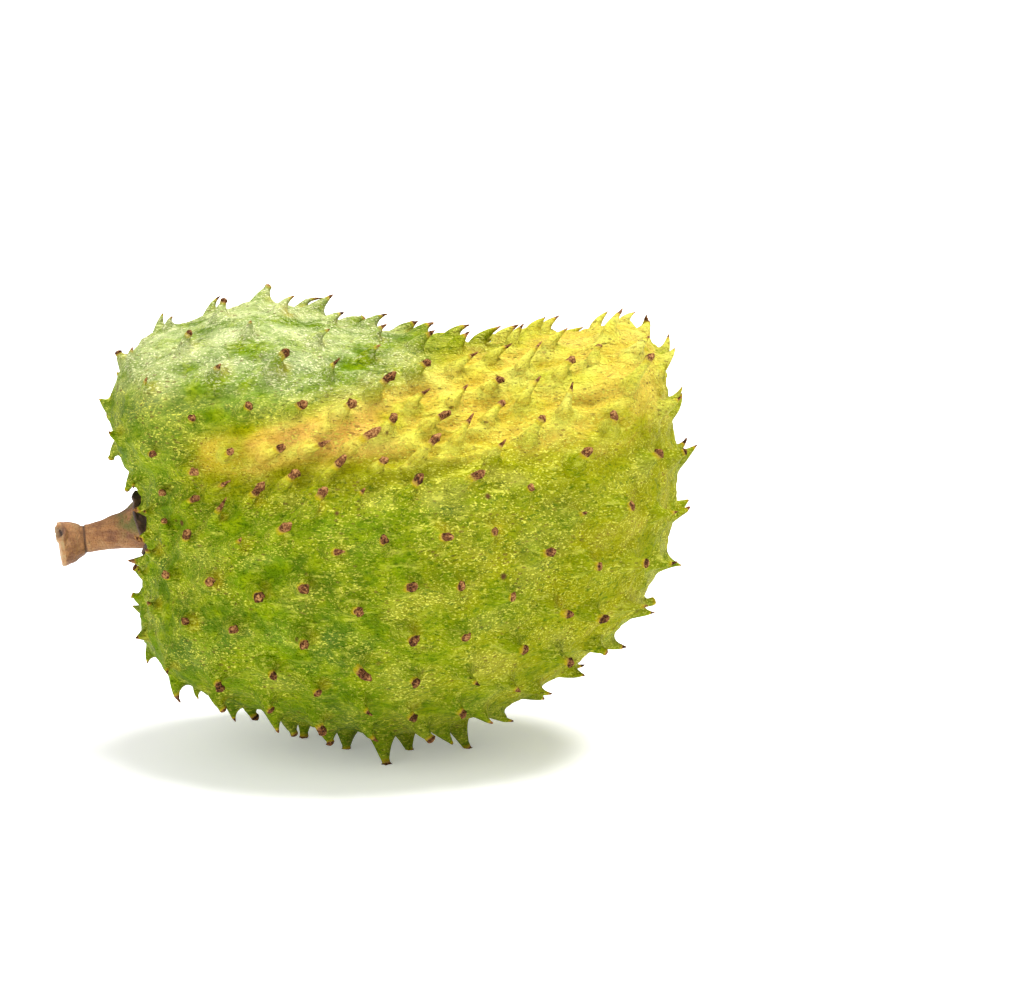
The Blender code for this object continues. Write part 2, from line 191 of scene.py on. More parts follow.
class Graph:
    """One material's node tree, with short ways to add the nodes that the finishes use."""

    def __init__(self, name: str) -> None:
        """Starts a material with a Principled shader and object coordinates.

        Args:
            name: The material's name.
        """
        self.material = bpy.data.materials.new(name)
        self.material.use_nodes = True
        self.tree = self.material.node_tree
        self.shader = self.tree.nodes["Principled BSDF"]
        self.place = self.add("ShaderNodeTexCoord").outputs["Object"]

    def add(self, kind: str, **settings: object) -> bpy.types.Node:
        """Adds a node.

        Args:
            kind: Blender's name for its type.
            settings: The node's own settings, by name.

        Returns:
            The new node.
        """
        node = self.tree.nodes.new(kind)
        for name, value in settings.items():
            setattr(node, name, value)
        return node

    def feed(self, socket: Socket, value: Socket | float | Colour) -> None:
        """Links a socket to another, or sets its constant value.

        Args:
            socket: The socket that takes the value.
            value: Another socket, a number or a colour.
        """
        if isinstance(value, bpy.types.NodeSocket):
            self.tree.links.new(value, socket)
        elif isinstance(value, tuple):
            socket.default_value = (*value, 1.0) if len(value) == 3 and socket.type == "RGBA" else value
        else:
            socket.default_value = value

    def attribute(self, name: str) -> Socket:
        """A number that the mesh holds for each corner."""
        return self.add("ShaderNodeAttribute", attribute_name=name).outputs["Fac"]

    def sum(self, step: Arithmetic, first: Socket | float, second: Socket | float) -> Socket:
        """One step of arithmetic.

        Args:
            step: Which step.
            first: The number that it starts from.
            second: The number that is added, taken away, multiplied by or compared with.

        Returns:
            The result, which isn't held between zero and one.
        """
        node = self.add("ShaderNodeMath", operation=step.value)
        self.feed(node.inputs[0], first)
        self.feed(node.inputs[1], second)
        return node.outputs[0]

    def times(self, first: Socket | float, second: Socket | float) -> Socket:
        """Two numbers multiplied."""
        return self.sum(Arithmetic.MULTIPLY, first, second)

    def stretched(self, scale: Place) -> Socket:
        """Stretches the object's coordinates, so that textures on them run long.

        Args:
            scale: Scale along each axis; under one lengthens a texture along it.

        Returns:
            The coordinates.
        """
        node = self.add("ShaderNodeMapping")
        self.feed(node.inputs["Vector"], self.place)
        node.inputs["Scale"].default_value = scale
        return node.outputs[0]

    def noise(
        self, scale: float, detail: float = 3.0, roughness: float = 0.5, place: Socket | None = None
    ) -> Socket:
        """Cloudy noise.

        Args:
            scale: Cells to the metre.
            detail: How many finer layers it has.
            roughness: How strong the finer layers are.
            place: Coordinates, or none for the object's own.

        Returns:
            A number from zero to one.
        """
        node = self.add("ShaderNodeTexNoise")
        self.feed(node.inputs["Vector"], place or self.place)
        self.feed(node.inputs["Scale"], scale)
        self.feed(node.inputs["Detail"], detail)
        self.feed(node.inputs["Roughness"], roughness)
        return node.outputs["Fac"]

    def dots(self, scale: float, largest: float, place: Socket | None = None) -> Socket:
        """Scattered dots, each of its own size.

        Args:
            scale: Dots to the metre.
            largest: Radius of the largest, as a share of their spacing.
            place: Coordinates, or none for the object's own.

        Returns:
            One on the dots and zero between them.
        """
        node = self.add("ShaderNodeTexVoronoi")
        self.feed(node.inputs["Vector"], place or self.place)
        self.feed(node.inputs["Scale"], scale)
        radius = self.times(node.outputs["Color"], largest)
        soft = 0.07
        return self.ramp(self.sum(Arithmetic.SUBTRACT, node.outputs["Distance"], radius), soft, -soft)

    def shifted(self, value: Socket, cloud: Socket, amount: float) -> Socket:
        """A number moved up and down by a cloudy noise, by up to half the amount each way."""
        swing = self.times(self.sum(Arithmetic.SUBTRACT, cloud, 0.5), amount)
        return self.sum(Arithmetic.ADD, value, swing)

    def ramp(self, value: Socket, low: float, high: float, to: Span = (0.0, 1.0)) -> Socket:
        """Carries a number smoothly from one range to another, and holds it at its ends.

        Args:
            value: The number.
            low: Where it begins to change.
            high: Where it is full.
            to: What it is at those two.

        Returns:
            The new number.
        """
        node = self.add("ShaderNodeMapRange", interpolation_type="SMOOTHSTEP")
        self.feed(node.inputs["Value"], value)
        for name, number in zip(("From Min", "From Max", "To Min", "To Max"), (low, high, *to)):
            node.inputs[name].default_value = number
        return node.outputs["Result"]

    def mix(self, share: Socket | float, under: Socket | Colour, over: Socket | Colour) -> Socket:
        """Mixes two colours.

        Args:
            share: Zero for the first colour and one for the second.
            under: The first colour.
            over: The second colour.

        Returns:
            The mixed colour.
        """
        node = self.add("ShaderNodeMix", data_type="RGBA")
        self.feed(node.inputs[0], share)
        self.feed(node.inputs[6], under)
        self.feed(node.inputs[7], over)
        return node.outputs[2]

    def tint(
        self, under: Socket | Colour, over: Socket | Colour, share: Socket, most: Socket | float
    ) -> Socket:
        """A colour with another laid over it, by a share of the most that it may cover."""
        return self.mix(self.times(share, most), under, over)

    def bump(self, height: Socket, depth: float, strength: float, under: Socket | None = None) -> Socket:
        """Adds relief for the light to catch.

        Args:
            height: Height from zero to one.
            depth: How tall one is, in metres.
            strength: How strongly it tilts the surface.
            under: Another relief that it lies on, or none.

        Returns:
            The tilted normal.
        """
        node = self.add("ShaderNodeBump")
        node.inputs["Strength"].default_value = strength
        node.inputs["Distance"].default_value = depth
        self.feed(node.inputs["Height"], height)
        if under:
            self.feed(node.inputs["Normal"], under)
        return node.outputs[0]


@dataclass(frozen=True)
class SkinFinish:
    """Living soursop skin: green to gold, flecked with fine pale dots, with dried brown spine tips, and
    with painted shade and painted highlights in its colour.
    """

    deep_green: Colour = (0.075, 0.145, 0.001)
    leaf_green: Colour = (0.150, 0.250, 0.001)
    bright_green: Colour = (0.300, 0.370, 0.001)
    olive: Colour = (0.330, 0.325, 0.001)
    lemon: Colour = (0.680, 0.660, 0.070)
    gold: Colour = (0.760, 0.560, 0.040)
    ochre: Colour = (0.560, 0.340, 0.030)
    blush: Colour = (0.740, 0.400, 0.070)
    bloom: Colour = (0.220, 0.280, 0.050)
    # pale: colour of the real milky patches, and of a painted sheen on the top and on the upper lobe
    pale: Colour = (0.770, 0.830, 0.430)
    # fleck: near white where the painted sheen is, real flecks with painted glints
    fleck: Colour = (0.930, 0.930, 0.500)
    yellow_fleck: Colour = (0.830, 0.810, 0.110)
    scab: Colour = (0.130, 0.060, 0.020)
    dry_yellow: Colour = (0.520, 0.360, 0.008)
    tip_dark: Colour = (0.045, 0.020, 0.010)
    tip_brown: Colour = (0.200, 0.078, 0.030)
    tip_tan: Colour = (0.500, 0.250, 0.090)
    roughness: float = 0.48
    roughness_dried: float = 0.80
    gloss: float = 0.02
    along: Place = (0.5, 1.0, 1.0)  # lengthens the grain along the fruit
    along_fibres: Place = (0.22, 1.0, 1.0)
    cloud_scale: float = 42  # cells to the metre, here and below
    patch_scale: float = 95
    mottle_scale: float = 150
    swell_scale: float = 270
    fibre_scale: float = 480
    speck_scale: float = 700
    grain_scale: float = 760
    fleck_scale: float = 1500
    scale_scale: float = 1300
    spot_scale: float = 110
    mottle_most: float = 0.55  # the most that each colour covers of the ones under it, here and below
    ridge_most: float = 0.35
    painted_hollow_shade_most: float = 0.35
    blush_most: float = 0.80
    lemon_and_light_most: float = 0.80
    bloom_most: float = 0.60
    pale_and_sheen_most: float = 0.65
    stain_most: float = 0.55
    fleck_most: float = 0.90
    speck_most: float = 0.60
    painted_shade_most: float = 0.12
    swell_depth: float = 0.0046
    fleck_depth: float = 0.0004
    grain_depth: float = 0.0016

    def skin_colour(self, graph: Graph, patch: Socket, grain: Socket) -> Socket:
        """Colour of the bare skin, from green through olive to gold and a little orange, with painted shade
        in its hollows and lemon on its raised parts that is partly painted light.

        Args:
            graph: The material that it is built in.
            patch: Noise in patches of a centimetre.
            grain: Noise in grains of a millimetre.

        Returns:
            The colour.
        """
        cloud = graph.noise(self.cloud_scale, 3, 0.6)
        rise = graph.attribute("rise")
        ripe = graph.shifted(graph.attribute("ripe"), patch, 0.75)
        green = graph.mix(graph.ramp(cloud, 0.36, 0.62), self.deep_green, self.leaf_green)
        mottle = graph.ramp(graph.noise(self.mottle_scale, 3, 0.6), 0.44, 0.62)
        green = graph.tint(green, self.bright_green, mottle, self.mottle_most)
        colour = graph.mix(graph.ramp(ripe, 0.00, 0.55), green, self.olive)
        colour = graph.tint(colour, self.bright_green, rise, self.ridge_most)
        colour = graph.mix(graph.ramp(ripe, 0.50, 0.95), colour, self.gold)
        # painted shade: ochre in the hollows between the raised ridges on the ripe side
        sunk = graph.sum(Arithmetic.SUBTRACT, graph.ramp(ripe, 0.45, 0.85), rise)
        colour = graph.tint(colour, self.ochre, graph.ramp(sunk, 0.20, 0.90), self.painted_hollow_shade_most)
        blush = graph.shifted(graph.attribute("blush"), patch, 0.9)
        colour = graph.tint(colour, self.blush, graph.ramp(blush, 0.30, 0.95), self.blush_most)
        # lemon on the raised ridges and the spines: partly their own colour, partly painted light
        raised = graph.times(rise, graph.ramp(ripe, 0.45, 0.75))
        colour = graph.tint(colour, self.lemon, raised, self.lemon_and_light_most)
        bloom = graph.times(graph.attribute("bloom"), graph.ramp(patch, 0.38, 0.62))
        colour = graph.tint(colour, self.bloom, bloom, self.bloom_most)
        # dark specks in the low spots of the grain that the bump sinks: partly real specks, partly painted
        # shade
        hollow = graph.mix(graph.ramp(ripe, 0.35, 0.70), self.deep_green, self.ochre)
        most = graph.ramp(ripe, 0.35, 0.80, (0.85, 0.55))
        return graph.tint(colour, hollow, graph.ramp(grain, 0.50, 0.34), most)

    def fleck_share(self, graph: Graph, long_grain: Socket, patch: Socket) -> Socket:
        """How much of a pale fleck each spot of the skin has: dense in patches, nearly none elsewhere.

        Args:
            graph: The material that it is built in.
            long_grain: Coordinates that lengthen the flecks along the fruit.
            patch: Noise in patches of a centimetre.

        Returns:
            A share from zero to one.
        """
        cover = graph.ramp(graph.shifted(graph.attribute("flecked"), patch, 2.2), 0.00, 0.80)
        fine = graph.ramp(graph.noise(self.fleck_scale, 2, 0.55, long_grain), 0.57, 0.66)
        both = graph.sum(Arithmetic.LARGER, graph.dots(self.fleck_scale, 0.42, long_grain), fine)
        return graph.times(both, cover)

    def flecked(self, graph: Graph, colour: Socket, flecks: Socket, patch: Socket) -> Socket:
        """The skin with all that is scattered over it: pale milk and a painted sheen, yellow stains,
        fibres, flecks, scabs, and painted shade towards the bottom and on the spines' bodies.

        Args:
            graph: The material that it is built in.
            colour: Colour of the bare skin.
            flecks: Share of a pale fleck at each spot.
            patch: Noise in patches of a centimetre.

        Returns:
            The colour.
        """
        pale = graph.attribute("pale")
        # pale milky patches, and a painted sheen that is lighter towards the top and strongest on the upper
        # lobe
        milky = graph.times(pale, graph.ramp(patch, 0.30, 0.70))
        colour = graph.tint(colour, self.pale, milky, self.pale_and_sheen_most)
        glow = graph.shifted(graph.attribute("glow"), patch, 0.8)
        colour = graph.tint(colour, self.dry_yellow, graph.ramp(glow, 0.15, 0.85), self.stain_most)
        # the flecks whiten where the painted sheen is, as painted glints
        fleck = graph.mix(graph.ramp(pale, 0.15, 0.60), self.yellow_fleck, self.fleck)
        threads = graph.noise(self.fibre_scale, 4, 0.65, graph.stretched(self.along_fibres))
        near_spine = graph.ramp(graph.attribute("halo"), 0.0, 0.8, (0.10, 0.60))
        colour = graph.tint(colour, fleck, graph.ramp(threads, 0.54, 0.68), near_spine)
        colour = graph.tint(colour, fleck, flecks, self.fleck_most)
        specks = graph.dots(self.speck_scale, 0.38, graph.stretched(self.along))
        specks = graph.times(specks, graph.ramp(patch, 0.42, 0.58))
        colour = graph.tint(colour, self.scab, specks, self.speck_most)
        rare = graph.ramp(graph.noise(60, 2, 0.5), 0.50, 0.58)
        colour = graph.tint(colour, self.scab, graph.dots(self.spot_scale, 0.14), rare)
        # painted shade: darker green towards the bottom and on the spines' bodies
        return graph.tint(colour, self.deep_green, graph.attribute("low"), self.painted_shade_most)

    def tip_colour(self, graph: Graph, colour: Socket, dried: Socket) -> Socket:
        """The skin with the dried, scaly brown tips of its spines, each lighter at its end by a painted
        highlight.

        Args:
            graph: The material that it is built in.
            colour: Colour of the living skin.
            dried: How dry each spot is, from zero to one.

        Returns:
            The colour.
        """
        tone = graph.shifted(graph.attribute("tone"), graph.noise(self.scale_scale, 3, 0.7), 4.4)
        tip = graph.mix(graph.ramp(tone, 0.0, 0.45), self.tip_dark, self.tip_brown)
        # tone is raised at each tip's end, for a painted highlight there
        tip = graph.mix(graph.ramp(tone, 0.55, 1.05), tip, self.tip_tan)
        colour = graph.tint(colour, self.dry_yellow, graph.ramp(dried, 0.06, 0.30), 0.55)
        colour = graph.tint(colour, self.tip_tan, graph.ramp(dried, 0.34, 0.50), 0.5)
        return graph.mix(graph.ramp(dried, 0.46, 0.62), colour, tip)

    def build(self) -> bpy.types.Material:
        """Makes the material.

        Returns:
            The finished material, which reads the fruit mesh's stored numbers.
        """
        graph = Graph("soursop_skin")
        long_grain = graph.stretched(self.along)
        patch = graph.noise(self.patch_scale, 4, 0.62, long_grain)
        grain = graph.noise(self.grain_scale, 4, 0.7, long_grain)
        flecks = self.fleck_share(graph, long_grain, patch)
        dried = graph.shifted(graph.attribute("tip"), graph.noise(420, 3, 0.6), 0.5)
        colour = self.flecked(graph, self.skin_colour(graph, patch, grain), flecks, patch)
        roughness = graph.ramp(dried, 0.4, 0.7, (self.roughness, self.roughness_dried))
        graph.feed(graph.shader.inputs["Base Color"], self.tip_colour(graph, colour, dried))
        graph.feed(graph.shader.inputs["Roughness"], roughness)
        graph.shader.inputs["Specular IOR Level"].default_value = self.gloss
        relief = graph.bump(graph.noise(self.swell_scale, 4, 0.7, long_grain), self.swell_depth, 0.9)
        relief = graph.bump(flecks, self.fleck_depth, 0.8, relief)
        graph.feed(graph.shader.inputs["Normal"], graph.bump(grain, self.grain_depth, 0.9, relief))
        return graph.material


@dataclass(frozen=True)
class BarkFinish:
    """Thin orange-brown bark with fine lengthwise streaks, and a paler cut end."""

    light: Colour = (0.460, 0.205, 0.066)
    dark: Colour = (0.190, 0.072, 0.026)
    cut: Colour = (0.470, 0.310, 0.140)
    moss: Colour = (0.120, 0.115, 0.015)
    groove: Colour = (0.040, 0.016, 0.008)
    roughness: float = 0.62
    lump_depth: float = 0.0016
    pore_depth: float = 0.0007

    def build(self) -> bpy.types.Material:
        """Makes the material.

        Returns:
            The finished material, which reads where the cut, the groove and the moss are from the mesh.
        """
        graph = Graph("stalk_bark")
        streaks = graph.noise(420, 5, 0.65, graph.stretched((0.18, 1.0, 1.0)))
        blotch = graph.noise(170, 4, 0.6)
        pores = graph.noise(1600, 3, 0.7)
        mottled = graph.shifted(streaks, blotch, 0.9)
        colour = graph.mix(graph.ramp(mottled, 0.26, 0.66), self.dark, self.light)
        colour = graph.tint(colour, self.cut, graph.ramp(blotch, 0.5, 0.75), 0.5)
        colour = graph.tint(colour, self.dark, graph.ramp(pores, 0.48, 0.66), 0.60)
        colour = graph.tint(colour, self.moss, graph.attribute("moss"), graph.ramp(blotch, 0.40, 0.60))
        wood = graph.mix(graph.ramp(graph.noise(700, 4, 0.6), 0.35, 0.65), self.cut, self.light)
        colour = graph.mix(graph.attribute("cut"), colour, wood)
        colour = graph.mix(graph.attribute("groove"), colour, self.groove)
        graph.feed(graph.shader.inputs["Base Color"], colour)
        graph.shader.inputs["Roughness"].default_value = self.roughness
        relief = graph.bump(graph.noise(650, 4, 0.7), self.lump_depth, 0.9)
        graph.feed(graph.shader.inputs["Normal"], graph.bump(pores, self.pore_depth, 0.9, relief))
        return graph.material


@dataclass(frozen=True)
class DriedFinish:
    """Dark, dried plant matter, mottled with a lighter worn brown."""

    name: str = "dried_sepal"
    dark: Colour = (0.030, 0.013, 0.007)
    worn: Colour = (0.120, 0.056, 0.027)
    roughness: float = 0.7

    def build(self) -> bpy.types.Material:
        """Makes the material.

        Returns:
            The finished material.
        """
        graph = Graph(self.name)
        mottle = graph.noise(520, 5, 0.7)
        colour = graph.mix(graph.ramp(mottle, 0.42, 0.72), self.dark, self.worn)
        graph.feed(graph.shader.inputs["Base Color"], colour)
        graph.shader.inputs["Roughness"].default_value = self.roughness
        graph.feed(graph.shader.inputs["Normal"], graph.bump(mottle, 0.0006, 0.7))
        return graph.material


# ------------------------------------------------------------------------------------------------ the flesh


@dataclass(frozen=True)
class Swelling:
    """An ellipsoid of flesh, by its centre from the heart and its half sizes."""

    centre: Place
    half: Place


@dataclass(frozen=True)
class Hollow:
    """A place where the skin is pulled in, by its centre from the heart, half sizes and strength."""

    centre: Place
    half: Place
    strength: float


@dataclass
class Flesh:
    """The lopsided body of the fruit: the level surface of swellings that run into each other."""

    blend: float = 0.0070
    evenness: Place = (0.098, 0.066, 0.075)
    swellings: tuple[Swelling, ...] = (
        Swelling((-0.0781, 0.006, 0.0397), (0.0180, 0.040, 0.0238)),  # corner of the upper shoulder
        Swelling((-0.0447, 0.006, 0.0393), (0.0364, 0.048, 0.0346)),  # upper shoulder
        Swelling((-0.0539, -0.002, -0.0355), (0.0307, 0.044, 0.0221)),  # heel under the stalk
        Swelling((-0.0041, -0.003, -0.0044), (0.0826, 0.064, 0.0687)),  # belly
        Swelling((0.0791, 0.004, 0.0478), (0.0122, 0.036, 0.0163)),  # apex
        Swelling((0.0579, 0.002, 0.0110), (0.0379, 0.048, 0.0523)),  # nose under the apex
        Swelling((0.0174, 0.004, 0.0206), (0.0669, 0.050, 0.0269)),  # back of the fruit
    )
    hollows: tuple[Hollow, ...] = (
        Hollow((-0.0970, -0.004, 0.0005), (0.0220, 0.026, 0.0130), 0.60),  # round the stalk
        Hollow((-0.0560, -0.048, 0.0160), (0.0300, 0.020, 0.0110), 0.55),  # lower end of the valley
        Hollow((-0.0180, -0.056, 0.0280), (0.0320, 0.022, 0.0120), 0.80),  # middle of the valley
        Hollow((0.0180, -0.046, 0.0460), (0.0260, 0.024, 0.0130), 0.75),  # upper end of the valley
    )
    valley_start: Span = (-0.0700, 0.0140)  # X and Z of the crowded band's ends
    valley_end: Span = (0.0780, 0.0640)
    valley_width: float = 0.0220
    stalk_crowding: float = 0.0300
    least_reach: float = 0.010  # the skin is at least and at most this far from the heart
    most_reach: float = 0.160
    halvings: int = 22

    def fullness(self, places: np.ndarray) -> np.ndarray:
        """How full of flesh places are.

        Args:
            places: One place per row, from the heart.

        Returns:
            A number for each, over one inside the flesh and under one outside it.
        """
        total = np.zeros(len(places))
        for swelling in self.swellings:
            half = np.array(swelling.half)
            reach = np.linalg.norm((places - np.array(swelling.centre)) / half, axis=1)
            total += np.exp((1 - reach) * np.prod(half) ** (1 / 3) / self.blend)
        for hollow in self.hollows:
            reach = (places - np.array(hollow.centre)) / np.array(hollow.half)
            total *= np.exp(-hollow.strength * np.exp(-(reach**2).sum(axis=1)))
        return total

    def skin_at(self, directions: np.ndarray) -> np.ndarray:
        """Finds where rays from the heart leave the flesh, by halving the stretch that it lies in.

        Args:
            directions: One unit vector per row.

        Returns:
            One place on the skin for each.
        """
        near = np.full(len(directions), self.least_reach)
        far = np.full(len(directions), self.most_reach)
        for _ in range(self.halvings):
            middle = (near + far) / 2
            inside = self.fullness(directions * middle[:, None]) > 1
            near = np.where(inside, middle, near)
            far = np.where(inside, far, middle)
        return directions * near[:, None]

    def normals_at(self, places: np.ndarray) -> np.ndarray:
        """Outward normals of the flesh.

        Args:
            places: Places on its skin, one per row.

        Returns:
            One unit vector for each.
        """
        steps = 0.0004 * np.eye(3)
        slopes = [self.fullness(places - step) - self.fullness(places + step) for step in steps]
        return unit(np.stack(slopes, axis=-1))

    def crowding(self, places: np.ndarray) -> np.ndarray:
        """One where spines are small and close, in the valley and at the stalk, and zero on full sides."""
        from_valley = beside_line(places, self.valley_start, self.valley_end)[1]
        return np.maximum(np.exp(-((from_valley / self.valley_width) ** 2)), self.by_stalk(places))

    def by_stalk(self, places: np.ndarray) -> np.ndarray:
        """One at the stalk, and less further from it."""
        return np.exp(-((np.linalg.norm(places - STALK_SEAT, axis=1) / self.stalk_crowding) ** 2))


# ----------------------------------------------------------------------------------------------- the spines


@dataclass
class SpineRules:
    """How the soft spines are spread over the skin, and how big and how hooked they are."""

    seed: int = 5
    count: int = 320
    spacing: float = 0.0174
    spacing_crowded: float = 0.0112
    spacing_stalk: float = 0.0078
    stalk_clearing: float = 0.0170  # full spines stay this far from the stalk's middle
    stub_clearing: float = 0.0118  # the last small stubs stay this far from it
    spreading: int = 90  # how many times the feet are pushed apart
    push: float = 0.35
    room: float = 1.25  # how much more room than their spacing the feet push for
    flow_end: Span = (0.0980, 0.0300)  # X and Y of the line that the tips hook towards
    flow_low: Span = (-0.0200, -0.0100)  # a foot's height, and the height that its tip hooks towards
    flow_high: Span = (0.0300, 0.0760)
    ridged_from: Span = (0.022, 0.050)  # distances from the stalk over which ridges begin
    height: float = 0.0063
    heights: Span = (0.8, 1.2)  # shares of it, here and below
    heights_stub: Span = (0.8, 1.5)
    height_ridged: float = 0.30  # how much taller a spine on a ridge is
    hook: float = 0.45
    hooks: Span = (0.6, 1.3)
    hooks_stub: Span = (-1.8, -0.2)
    hook_ridged: float = 1.8
    foot: float = 0.0047
    foot_largest: float = 1.06
    ridged_foot: float = 0.34  # how much narrower the foot is where a ridge carries the spine
    size_crowded: float = 0.25  # how much smaller spines get where they are crowded
    size_shoulder: float = 0.22  # how much smaller they get towards the stalk, between these distances
    shoulder_from: Span = (0.035, 0.085)
    tip: float = 0.0009
    tips_worn: Span = (1.0, 1.3)
    tips_sharp: Span = (0.60, 0.95)
    flare: Span = (0.62, 1.00)  # how steeply the foot leaves the skin, plain and on a ridge
    flare_worn: float = 0.12
    taper: Span = (0.55, 0.20)  # how quickly the spine thins above its foot
    keel: Span = (0.12, 0.35)  # how much longer the foot is on the side away from the hook
    bend_from: float = 0.62  # share of the height where the tip starts to curl
    curl: Span = (0.5, 1.1)  # middle and spread of the curl
    curl_limits: Span = (-0.5, 3.2)
    sway: float = 0.16
    front: Span = (0.35, 0.75)  # how far spines face -Y where most have worn knobs
    tones: Span = (0.05, 0.40)
    stains: Span = (0.1, 1.0)
    browns: Span = (0.74, 0.92)  # share of the height where the dried tip starts
    browns_stub: Span = (0.45, 0.75)
    pressed_below: float = 0.0112  # spines with their foot lower than this carry the fruit
    pressed_depth: float = 0.0018
    pressed_lean: float = 0.25
    pressed_tip: float = 1.25
    stub_size: float = 1.10

    def spread(self, flesh: Flesh) -> tuple[np.ndarray, int]:
        """Feet of the spines, pushed apart until they are evenly spaced.

        Args:
            flesh: The body that they stand on.

        Returns:
            One foot per row, from the heart, and how many are full spines. The stubs round the stalk come
            last.
        """
        random = np.random.default_rng(self.seed)
        start = unit(random.normal(size=(self.count, 3)))
        feet = flesh.skin_at(unit(start * flesh.evenness))
        itself = np.eye(self.count)
        for _ in range(self.spreading):
            room = self.spacing + (self.spacing_crowded - self.spacing) * flesh.crowding(feet)
            room = room + (self.spacing_stalk - room) * flesh.by_stalk(feet)
            between = feet[:, None] - feet[None]
            apart = np.linalg.norm(between, axis=2) + itself
            wanted = self.room * (room[:, None] + room[None]) / 2
            push = np.clip(1 - apart / wanted, 0, 1) * (1 - itself)
            shift = (push[..., None] * between / apart[..., None]).sum(axis=1)
            feet = flesh.skin_at(unit(feet + self.push * room[:, None] * shift))
        from_stalk = np.linalg.norm(feet - STALK_SEAT, axis=1)
        full = from_stalk > self.stalk_clearing
        stub = ~full & (from_stalk > self.stub_clearing)
        return np.concatenate([feet[full], feet[stub]]), int(full.sum())


class Spines:
    """Every spine's foot, the directions that it grows in, its size and its colours."""

    def __init__(self, rules: SpineRules, flesh: Flesh) -> None:
        """Spreads the spines and draws each one's own sizes.

        Args:
            rules: Spacing and sizes that all the spines share.
            flesh: The body that they stand on.
        """
        feet, full = rules.spread(flesh)
        total, stubs = len(feet), len(feet) - full
        self.rules = rules
        self.feet = feet
        self.crowded = flesh.crowding(feet)
        self.outward = flesh.normals_at(feet)
        levels = np.interp(feet[:, 2], *zip(rules.flow_low, rules.flow_high))
        towards = np.column_stack((np.tile(rules.flow_end, (total, 1)), levels)) - feet
        self.hooked = unit(towards - (towards * self.outward).sum(axis=1)[:, None] * self.outward)
        self.sideways = np.cross(self.outward, self.hooked)
        from_stalk = np.linalg.norm(feet - STALK_SEAT, axis=1)
        self.ridged = self.crowded * smooth_step(from_stalk, *rules.ridged_from)
        shoulder = smooth_step(-feet[:, 0], *rules.shoulder_from)
        size = (1 - rules.size_crowded * self.crowded) * (1 - rules.size_shoulder * shoulder)
        size[full:] *= rules.stub_size
        self.size = size
        self.foot_radius = rules.foot * size * (rules.foot_largest - rules.ridged_foot * self.ridged)

        random = np.random.default_rng(rules.seed + 1)
        ridged = self.ridged[:full]
        lean = rules.hook * random.uniform(*rules.hooks, full) * (1 + rules.hook_ridged * ridged)
        height = rules.height * size[:full] * random.uniform(*rules.heights, full)
        lean_stub = rules.hook * random.uniform(*rules.hooks_stub, stubs)
        height_stub = rules.height * size[full:] * random.uniform(*rules.heights_stub, stubs)
        self.lean = np.concatenate([lean, lean_stub])
        self.height = np.concatenate([height * (1 + rules.height_ridged * ridged), height_stub])
        self.curl = np.clip(random.normal(*rules.curl, total), *rules.curl_limits) * (1 - 0.8 * self.ridged)
        self.sway = random.normal(0, rules.sway, total)
        front = smooth_step(-self.outward[:, 1], *rules.front)
        chance = (0.25 + 0.65 * front) * (1 - 0.35 * self.ridged)
        self.worn = (random.random(total) < chance).astype(float)
        wide = random.uniform(*rules.tips_worn, total) + 0.15 * front
        narrow = random.uniform(*rules.tips_sharp, total)
        self.blunt = np.where(self.worn > 0, wide, narrow)
        self.tone = random.uniform(*rules.tones, total) + 0.25 * self.ridged
        self.stain = random.uniform(*rules.stains, total)
        greener = smooth_step(feet[:, 0], 0.0, 0.06) * smooth_step(feet[:, 2], 0.02, 0.06)
        browned = random.uniform(*rules.browns, total) + 0.10 * greener * random.uniform(0.2, 1, total)
        self.brown_from = browned + 0.06 * (1 - front) - 0.05 * self.ridged
        self.brown_from[full:] = random.uniform(*rules.browns_stub, stubs)
        self.tone[full:] += 0.35
        self.press()

    def press(self) -> None:
        """Makes the spines under the fruit long enough for their flat tips to carry it."""
        rules = self.rules
        lowest = self.feet[:, 2] + HEART[2] < rules.pressed_below
        self.lean = np.where(lowest, rules.pressed_lean * self.lean, self.lean)
        falls = -(self.outward[:, 2] + self.lean * self.hooked[:, 2])
        reach = self.feet[:, 2] + HEART[2] + rules.pressed_depth
        self.height = np.where(lowest, reach / np.where(lowest, falls, 1), self.height)
        self.curl = np.where(lowest, 0, self.curl)
        self.sway = np.where(lowest, 0, self.sway)
        self.blunt = np.where(lowest, rules.pressed_tip, self.blunt)
        self.worn = np.where(lowest, 1, self.worn)

    def between(self, ends: Span, number: int) -> float:
        """A size for one spine, between its values on plain skin and on a ridge."""
        return ends[0] + (ends[1] - ends[0]) * float(self.ridged[number])

    def radius(self, number: int, share: np.ndarray) -> np.ndarray:
        """How thick one spine is: a wide foot that thins quickly to a knob or a point.

        Args:
            number: Which spine.
            share: Shares of its height.

        Returns:
            One radius for each share.
        """
        rules = self.rules
        tip = rules.tip * self.blunt[number] * min(1.0, 0.35 + 0.65 * self.size[number])
        flare = self.between(rules.flare, number) + rules.flare_worn * self.worn[number]
        slope = (1 - share**flare) * (1 - share) ** self.between(rules.taper, number)
        knob = 0.30 * np.exp(-(((share - 0.91) / 0.08) ** 2))
        knob -= 0.08 * np.exp(-(((share - 0.74) / 0.08) ** 2))
        point = -0.40 * smooth_step(share, 0.72, 1.02)
        end = 1 + point + (knob - point) * self.worn[number]
        return (tip + (self.foot_radius[number] - tip) * slope) * end

